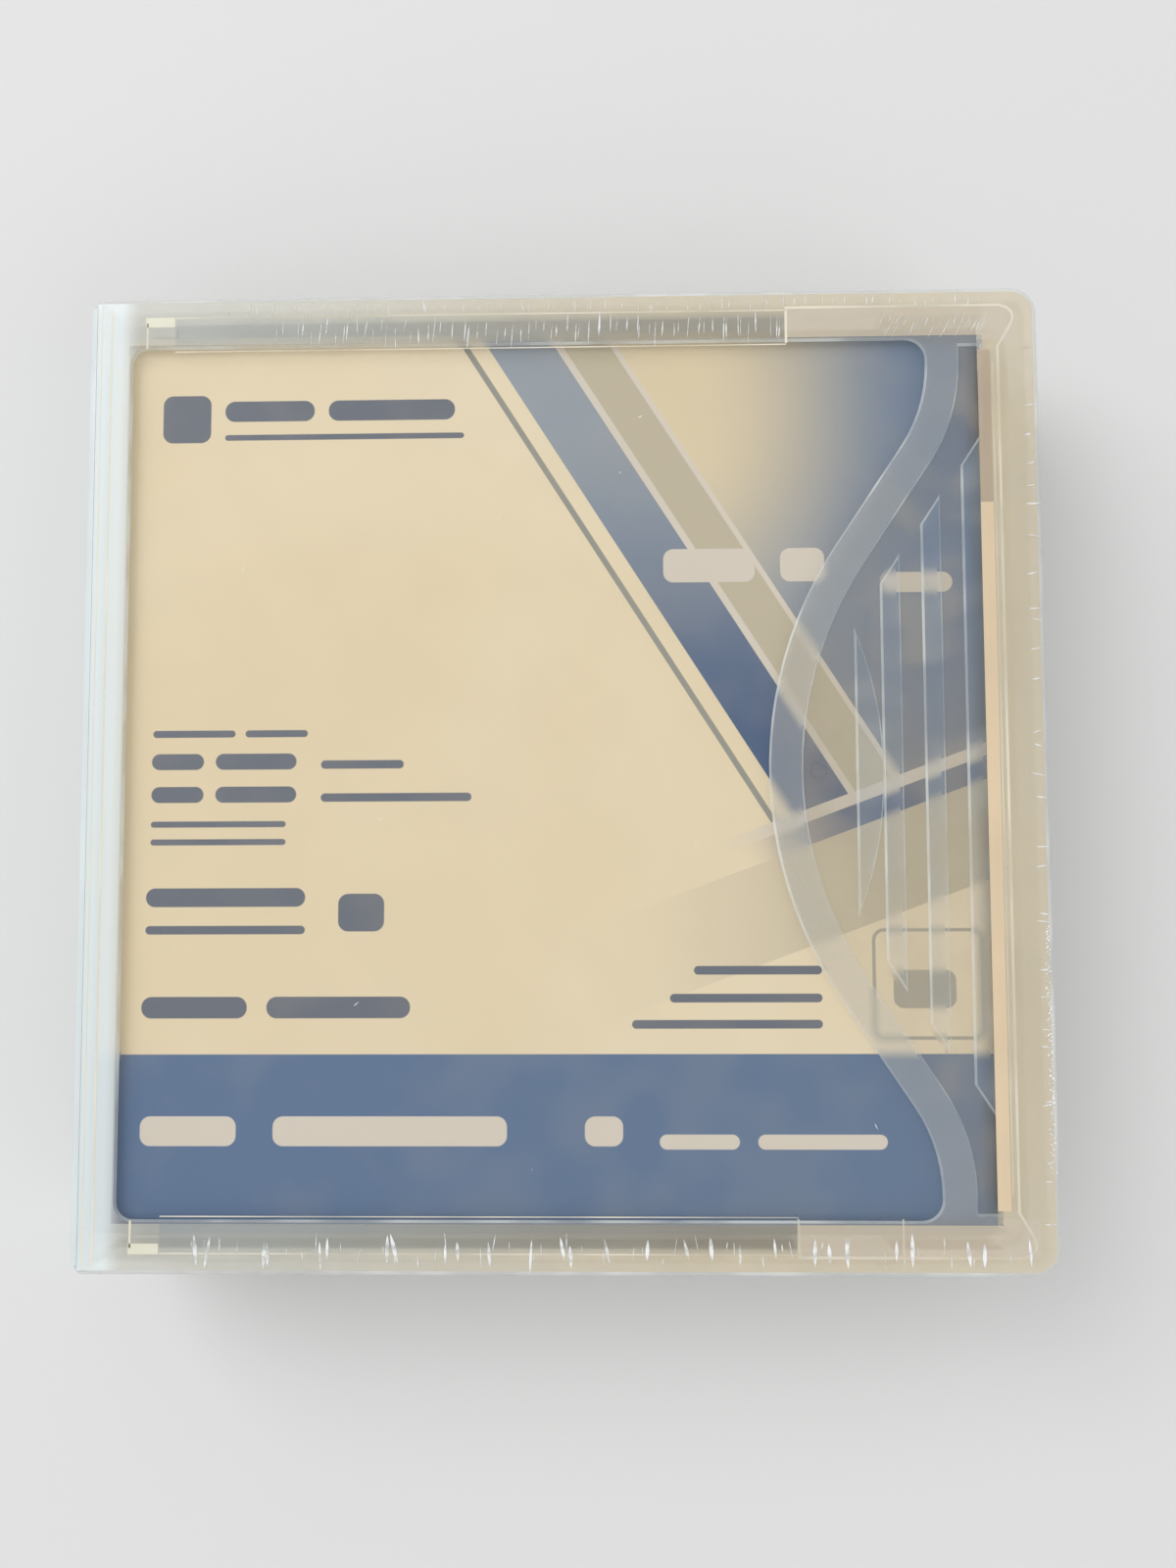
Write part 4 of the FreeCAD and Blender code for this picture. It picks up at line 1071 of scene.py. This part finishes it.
@dataclass
class RimLines:
    """Painted highlights at the ends of the walls and ribs just under the lid, the bright stops,
    and its gate mark.
    """

    level: float = 27.02
    # painted highlights along the ends of the walls and ribs under the lid
    horn: tuple[tuple[float, float], ...] = (
        (26.9, 50.9), (26.9, 55.2), (52.0, 55.2), (52.9, 54.9), (53.5, 54.3), (53.6, 53.5),
        (53.2, 52.6), (51.75, 50.2), (51.75, 0.0))
    lines: tuple[Ribbon, ...] = (
        Ribbon(((51.1, 48.2), (51.1, 0.0)), 0.12),
        Ribbon(((-46.0, 50.75), (26.9, 50.75)), 0.14),
        Ribbon(((-46.0, 54.9), (26.9, 54.9)), 0.14),
        Ribbon(((-49.4, 54.3), (-49.4, 51.2)), 0.24),
        Ribbon(((38.7, -50.9), (38.7, -54.9)), 0.2, False),
        Ribbon(((-53.7, 56.2), (-53.7, 0.0)), 0.22),
        Ribbon(((-54.9, 56.6), (-54.9, 0.0)), 0.14),
    )
    stop: Ribbon = Ribbon(((-49.6, 54.4), (-46.1, 54.4)), 1.2)
    card: Ribbon = Ribbon(((50.1, 31.5), (50.1, -50.0)), 1.5, False)
    card_shade: Ribbon = Ribbon(((50.1, 49.8), (50.1, 31.5)), 1.5, False)
    gate: tuple[float, float, float] = (30.0, 0.0, 0.95)
    gate_steps: int = 28

    def strip(self, verts: list, faces: list, points: Sequence[tuple[float, float]],
              width: float) -> None:
        """Adds one flat ribbon with mitred corners to a list of points and faces.

        Args:
            verts: Points so far.
            faces: Faces so far.
            points: The ribbon's line.
            width: Its width in mm.
        """
        faces += grid(len(points), 2, len(verts))
        line = [Vector(point) for point in points]
        for i, point in enumerate(line):
            before = (point - line[i - 1]).normalized() if i else None
            after = (line[i + 1] - point).normalized() if i + 1 < len(line) else None
            run = ((before or after) + (after or before)).normalized()
            reach = width / 2 / max(0.5, run.dot(before or after))
            offset = Vector((-run.y, run.x)) * reach
            verts += [(*(point + offset), self.level), (*(point - offset), self.level)]

    def add(self, name: str, ribbons: Sequence[Ribbon], finish: Material) -> None:
        """Makes one piece of some ribbons, each also on the other side where it is mirrored.

        Args:
            name: Name of the piece.
            ribbons: The ribbons.
            finish: Their finish.
        """
        verts, faces = [], []
        for ribbon in ribbons:
            self.strip(verts, faces, ribbon.points, ribbon.width)
            if ribbon.mirrored:
                self.strip(verts, faces, [(x, -y) for x, y in reversed(ribbon.points)],
                           ribbon.width)
        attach(mesh_piece(name, verts, faces, finish), "lid")

    def build(self) -> None:
        """Makes the lines, the two stops and the gate mark."""
        x, y, radius = self.gate
        turns = [math.tau * i / self.gate_steps for i in range(self.gate_steps + 1)]
        ring = tuple((x + radius * math.cos(a), y + radius * math.sin(a)) for a in turns)
        for name, ribbons, finish in (
                # rim_lines are the painted highlights
                ("rim_lines", (Ribbon(self.horn, 0.3), *self.lines), EdgeGlow()),
                ("hinge_stops", (self.stop,),
                 EdgeGlow("stop_glow", srgb(240, 238, 216), 0.7, 0.95)),
                ("card_edge", (self.card,),
                 EdgeGlow("card_edge_cream", srgb(240, 217, 182), 0.84, 0.94)),
                ("card_edge_shade", (self.card_shade,),
                 EdgeGlow("card_edge_dim", srgb(198, 180, 156), 0.8, 0.9)),
                ("gate_mark", (Ribbon(ring, 0.2, False),),
                 EdgeGlow("gate_shade", srgb(120, 120, 116), 0.4, 0.6))):
            self.add(name, ribbons, finish.build())


@dataclass
class CoilSpring:
    """A wound spring in the room that its solid holds."""

    name: str
    node: str
    joint: str
    axis: int                       # 0 to 2
    wire: float                     # radius in mm
    turns: float
    travel: float                   # of the joint, in mm
    held_high: bool                 # whether its upper end stays where it is
    closed: float = 0.75            # turns at each end that lie flat
    steps: int = 20                 # to a turn
    sides: int = 8

    def path(self, low: Vector, high: Vector) -> list[Vector]:
        """Winds the spring.

        Args:
            low: Lowest corner of its room in mm.
            high: Highest corner.

        Returns:
            Points along the middle of the wire in mm.
        """
        first, second = [i for i in range(3) if i != self.axis]
        middle = (low + high) / 2
        radius = (high[first] - low[first]) / 2 - self.wire
        run = high[self.axis] - low[self.axis] - 2 * self.wire
        points = []
        for i in range(int(self.turns * self.steps) + 1):
            turn = i / self.steps
            share = min(1.0, max(0.0, (turn - self.closed) / (self.turns - 2 * self.closed)))
            point = middle.copy()
            point[first] += radius * math.cos(math.tau * turn)
            point[second] += radius * math.sin(math.tau * turn)
            point[self.axis] = low[self.axis] + self.wire + run * share
            points.append(point)
        return points

    def build(self, finish: Material) -> None:
        """Makes the spring and ties it to the base.

        Args:
            finish: Material of the wire.
        """
        low, high = (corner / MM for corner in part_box(self.node))
        points = self.path(low, high)
        way = Vector([float(i == self.axis) for i in range(3)])
        middle = (low + high) / 2
        verts = []
        for i, point in enumerate(points):
            run = (points[min(i + 1, len(points) - 1)] - points[max(i - 1, 0)]).normalized()
            out = point - middle
            out = (out - way * out.dot(way)).normalized()
            beside = run.cross(out).normalized()
            out = beside.cross(run)
            for k in range(self.sides):
                angle = math.tau * k / self.sides
                verts.append(point + (out * math.cos(angle) + beside * math.sin(angle)) * self.wire)
        last = len(verts) - self.sides
        faces = grid(len(points), self.sides, closed=True)
        faces += [tuple(range(self.sides - 1, -1, -1)), tuple(range(last, last + self.sides))]
        piece = mesh_piece(self.name, verts, faces, finish)
        for face in piece.data.polygons:
            face.use_smooth = len(face.vertices) == 4
        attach(piece, "base")
        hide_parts(self.node)
        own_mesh(piece)


SPRINGS = (
    CoilSpring("brake_coil", "brake_spring", "brake_lift", 2, 0.35, 7.0, 1.8, True),
    CoilSpring("door_coil", "door_spring", "door_slide", 1, 0.2, 12.0, 12.5, False),
)


class Side(Enum):
    """Sides of the case: a point on each and its two ways along, whose cross product is out."""

    TOP = ((0, 0, 27.0), (1, 0, 0), (0, 1, 0))
    BACK = ((0, 57.4, 0), (-1, 0, 0), (0, 0, 1))
    FRONT = ((0, -57.4, 0), (1, 0, 0), (0, 0, 1))
    RIGHT = ((56.5, 0, 0), (0, 1, 0), (0, 0, 1))


@dataclass
class CreaseField:
    """A patch of the film where creases lie, in millimetres on one side of the case."""

    name: str
    body: str
    side: Side
    low: tuple[float, float]
    high: tuple[float, float]
    count: int
    length: tuple[float, float]
    width: tuple[float, float]
    heading: float                  # degrees from the side's first way
    spread: float                   # degrees
    seed: int


@dataclass
class ShrinkFilm:
    """Tight clear film on the tray and the lid, with creases as slim raised lenses."""

    fields: list[CreaseField]
    half_width: float = 56.5
    half_depth: float = 57.4
    height: float = 27.0
    corner: float = 3.1
    edge: float = 0.8
    spine_gap: float = 1.1          # where the skins of tray and lid end beside the spine
    parting: float = 13.55
    stand: float = 0.05             # how far the film stands off the plastic
    ridge: float = 0.05             # height of a crease
    crease_steps: int = 6
    frame: float = 5.6              # width of the film's creased frame on the lid
    least_radius: float = 0.3
    bevel_steps: int = 4
    corner_steps: int = 8

    def lens(self, verts: list, faces: list, middle: Vector, along: Vector, across: Vector,
             length: float, width: float) -> None:
        """Adds one slim lens with a ridge to a list of points and faces.

        Args:
            verts: Points so far.
            faces: Faces so far.
            middle: Its middle in mm.
            along: The way it runs.
            across: The way across it, in the plane of the film.
            length: Its length in mm.
            width: Its greatest width in mm.
        """
        faces += grid(self.crease_steps + 1, 3, len(verts), flip=True)
        for i in range(self.crease_steps + 1):
            t = i / self.crease_steps * 2 - 1
            swell = 1 - t * t
            spot, half = middle + along * t * length / 2, across * swell * width / 2
            verts += [spot + half, spot + along.cross(across) * swell * self.ridge, spot - half]

    def build_creases(self, area: CreaseField, finish: Material) -> None:
        """Makes the creases of one patch.

        Args:
            area: The patch.
            finish: Material of the creases.
        """
        rng = random.Random(area.seed)
        origin, first, second = (Vector(v) for v in area.side.value)
        outward = first.cross(second)
        verts, faces = [], []
        spans = [high - low for low, high in zip(area.low, area.high)]
        for i in range(area.count):
            shares = [rng.random(), rng.random()]
            longer = int(spans[1] > spans[0])
            shares[longer] = (i + shares[longer]) / area.count
            places = [low + span * share
                      for low, span, share in zip(area.low, spans, shares)]
            spot = origin + first * places[0] + second * places[1] + outward * self.stand
            turn = math.radians(area.heading + rng.gauss(0, area.spread))
            along = first * math.cos(turn) + second * math.sin(turn)
            self.lens(verts, faces, spot, along, outward.cross(along),
                      rng.uniform(*area.length), rng.uniform(*area.width))
        piece = mesh_piece(area.name, verts, faces, finish)
        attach(piece, area.body)

    def outline(self, inset: float) -> list[tuple[float, float]]:
        """Points round three sides of the case, from the spine to the spine again.

        Args:
            inset: How far inside the film's outermost line, in mm.

        Returns:
            X and Y of each point in mm.
        """
        out = self.stand - inset
        x0, x1, y1 = -self.half_width + self.spine_gap, self.half_width + out, self.half_depth + out
        radius = max(self.corner + out, self.least_radius)
        points = [(x0, -y1)]
        for sy, start in ((-1, -90), (1, 0)):
            for i in range(self.corner_steps + 1):
                angle = math.radians(start + 90 * i / self.corner_steps)
                points.append((x1 - radius + radius * math.cos(angle),
                               sy * (y1 - radius) + radius * math.sin(angle)))
        return points + [(x0, y1)]

    def build_skin(self, name: str, body: str, z0: float, z1: float, up: int,
                   finishes: Sequence[Material]) -> None:
        """Makes the skin of the tray or the lid: a wall round three sides, and its flat part.

        On the lid the flat part is a frame, because inside that the film lies flat on the
        plastic and isn't seen. Under the tray it is whole.

        Args:
            name: Name of the piece.
            body: The body it moves with.
            z0: Height of its open edge in mm.
            z1: Height of its cap in mm.
            up: 1 where the cap is above, -1 where it is below.
            finishes: Materials of its wall and its cap.
        """
        levels = [(0.0, z0), (0.0, z1 - up * self.edge)]
        for i in range(1, self.bevel_steps + 1):
            angle = math.pi / 2 * i / self.bevel_steps
            levels.append((self.edge * (1 - math.cos(angle)),
                           z1 - up * self.edge * (1 - math.sin(angle))))
        rings = [[(x, y, z) for x, y in self.outline(inset)] for inset, z in levels]
        if up > 0:
            rings.append([(x, y, z1) for x, y in self.outline(self.frame)])
        verts = [point for ring in rings for point in ring]
        faces = grid(len(rings), len(rings[0]))
        if up < 0:
            faces.append(tuple(range(len(verts) - len(rings[0]), len(verts))))
        piece = mesh_piece(name, verts, faces, *finishes)
        for face in piece.data.polygons:
            flat = abs(face.normal.z) > 0.999
            face.use_smooth = not flat
            face.material_index = int(flat)
        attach(piece, body)

    def build(self) -> None:
        """Makes the skins and the creases of each patch."""
        skin = (FilmSkin("film_round", 0.25, 0.09).build(),
                FilmSkin("film_flat", 0.2, 0.05).build())
        self.build_skin("film_on_lid", "lid", self.parting + 0.1, self.height + self.stand, 1, skin)
        self.build_skin("film_on_tray", "base", self.parting, 0.01, -1, skin)
        finish = FilmCreaseGlint().build()
        for area in self.fields:
            self.build_creases(area, finish)


# stage -------------------------------------------------------------------------------------

@dataclass(frozen=True)
class Lamp:
    """A wide soft lamp that faces the object: place and size in metres, power in watts."""

    name: str
    spot: tuple[float, float, float]
    size: float
    power: float


@dataclass
class Studio:
    """Pale floor that fades into a pale surround, soft light and the camera."""

    floor: Colour = (0.80, 0.80, 0.80)
    sky: float = 0.62
    surround: float = 0.78
    fade: tuple[float, float] = (400.0, 1500.0)     # mm from the object
    lamps: tuple[Lamp, ...] = (Lamp("key", (-0.55, 0.45, 0.8), 0.7, 4.2),
                               Lamp("fill", (0.6, -0.5, 0.7), 0.8, 1.6))
    view: tuple[float, float, float] = (0.007631, -0.014553, 0.197223)
    tilt: tuple[float, float, float] = (4.415, 1.494, -0.203)       # degrees
    lens: float = 33.75

    def build_floor(self) -> None:
        """Makes the floor, pale and matt."""
        graph = Graph("pale_floor")
        cloud = graph.noise(3.0)
        x, y, _ = graph.place_mm()
        tint = graph.mix(cloud, self.floor, scaled(self.floor, 1.02))
        material = graph.finish(Base_Color=tint, Roughness=0.9,
                                Alpha=far(x, y).ramp(*self.fade, 1.0, 0.0))
        size = self.fade[1]
        floor = mesh_piece("studio_floor", [(-size, -size, 0), (size, -size, 0),
                                            (size, size, 0), (-size, size, 0)],
                           [(0, 1, 2, 3)], material)
        floor.location.z = -0.05 * MM

    def build_lights(self) -> None:
        """Lights the stage: an even sky and two wide soft lamps."""
        graph = Graph("studio", "worlds")
        rays = graph.node("ShaderNodeLightPath").outputs
        seen = Sock(graph, rays["Is Camera Ray"])
        for kind in ("Is Glossy Ray", "Is Transmission Ray"):
            seen = seen.most(Sock(graph, rays[kind]))
        light = graph.node("ShaderNodeBackground", None, {
            "Color": (1, 1, 1), "Strength": seen.ramp(0.0, 1.0, self.sky, self.surround).socket})
        graph.node("ShaderNodeOutputWorld", None, {"Surface": light.outputs[0]})
        bpy.context.scene.world = graph.owner
        for lamp in self.lamps:
            light = bpy.data.lights.new(lamp.name, "AREA")
            light.size, light.energy = lamp.size, lamp.power
            holder = bpy.data.objects.new(lamp.name, light)
            holder.location = lamp.spot
            holder.rotation_euler = (-Vector(lamp.spot)).to_track_quat("-Z", "Y").to_euler()
            bpy.context.scene.collection.objects.link(holder)

    def build_camera(self) -> None:
        """Sets up the camera, which looks down on the lid."""
        lens = bpy.data.cameras.new("camera")
        lens.lens = self.lens
        lens.sensor_width = 36.0
        lens.clip_start = 0.01
        camera = bpy.data.objects.new("camera", lens)
        camera.location = self.view
        camera.rotation_euler = tuple(math.radians(a) for a in self.tilt)
        bpy.context.scene.collection.objects.link(camera)
        bpy.context.scene.camera = camera

    def build(self) -> None:
        """Makes all of it."""
        self.build_floor()
        self.build_lights()
        self.build_camera()
        bpy.context.scene.view_settings.view_transform = "Standard"


def film_fields() -> list[CreaseField]:
    """Says where the film is creased.

    Returns:
        The patches on the lid's top, then one on each half of the back, front and right walls.
    """
    # each patch holds folds painted white as glints; the specks are tiny painted glints
    fields = [CreaseField(f"film_{name}", "lid", Side.TOP, *row) for name, *row in (
        ("creases_back", (-34, 52.0), (27, 53.8), 66, (1.4, 3.4), (0.08, 0.18), 87.0, 2.5, 3),
        ("creases_back_edge", (-40, 55.4), (50, 56.1), 60, (0.8, 1.8), (0.07, 0.14), 88.0, 4.0, 4),
        ("creases_corner", (38, 52.2), (51.0, 53.8), 34, (1.4, 3.0), (0.05, 0.1), 64.0, 3.0, 17),
        ("glints_front", (-44, -55.2), (53, -54.2), 28, (2.2, 4.0), (0.3, 0.5), 92.0, 5.0, 5),
        ("creases_front", (-44, -55.8), (52, -53.4), 44, (0.8, 2.4), (0.09, 0.16), 90.0, 6.0, 6),
        ("creases_right", (55.1, -52), (55.45, 46), 28, (1.0, 1.9), (0.12, 0.24), 3.0, 8.0, 7),
        ("specks_right", (55.4, -46), (56.0, -18), 110, (0.14, 0.45), (0.12, 0.26), 60.0, 40.0, 8),
        ("specks_top", (-45, -48), (45, 48), 14, (0.3, 1.3), (0.06, 0.12), 70.0, 30.0, 9),
    )]
    seed = 10
    for side, start, end, count, lean, spread in (
            (Side.BACK, -53, 52, 34, -2.0, 7.0), (Side.FRONT, -52, 53, 34, 2.0, 7.0),
            (Side.RIGHT, -52, 52, 40, 0.0, 10.0)):
        for part, body, low, high, way in (("lid", "lid", 17, 23, 1),
                                           ("tray", "base", 3.4, 10, -1)):
            fields.append(CreaseField(
                f"film_creases_{part}_{side.name.lower()}", body, side, (start, low), (end, high),
                count, (2.0, 6.0), (0.06, 0.16), 90.0 + way * lean, spread, seed))
            seed += 1
    return fields


def main() -> None:
    """Builds every sub-assembly in order."""
    logging.basicConfig(level=logging.INFO, format="%(message)s")
    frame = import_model()
    nodes = frame["nodes"]
    for step, build in (
            ("case dressed", LibraryCase(nodes).dress),
            ("printed sheet placed", CoverSheet().place),
            ("cartridge dressed", Cartridge(nodes, SPRINGS).dress),
            ("lines under the lid made", RimLines().build),
            ("film made", ShrinkFilm(film_fields()).build),
            ("stage built", Studio().build)):
        build()
        LOG.info(step)


if __name__ == "__main__":
    main()
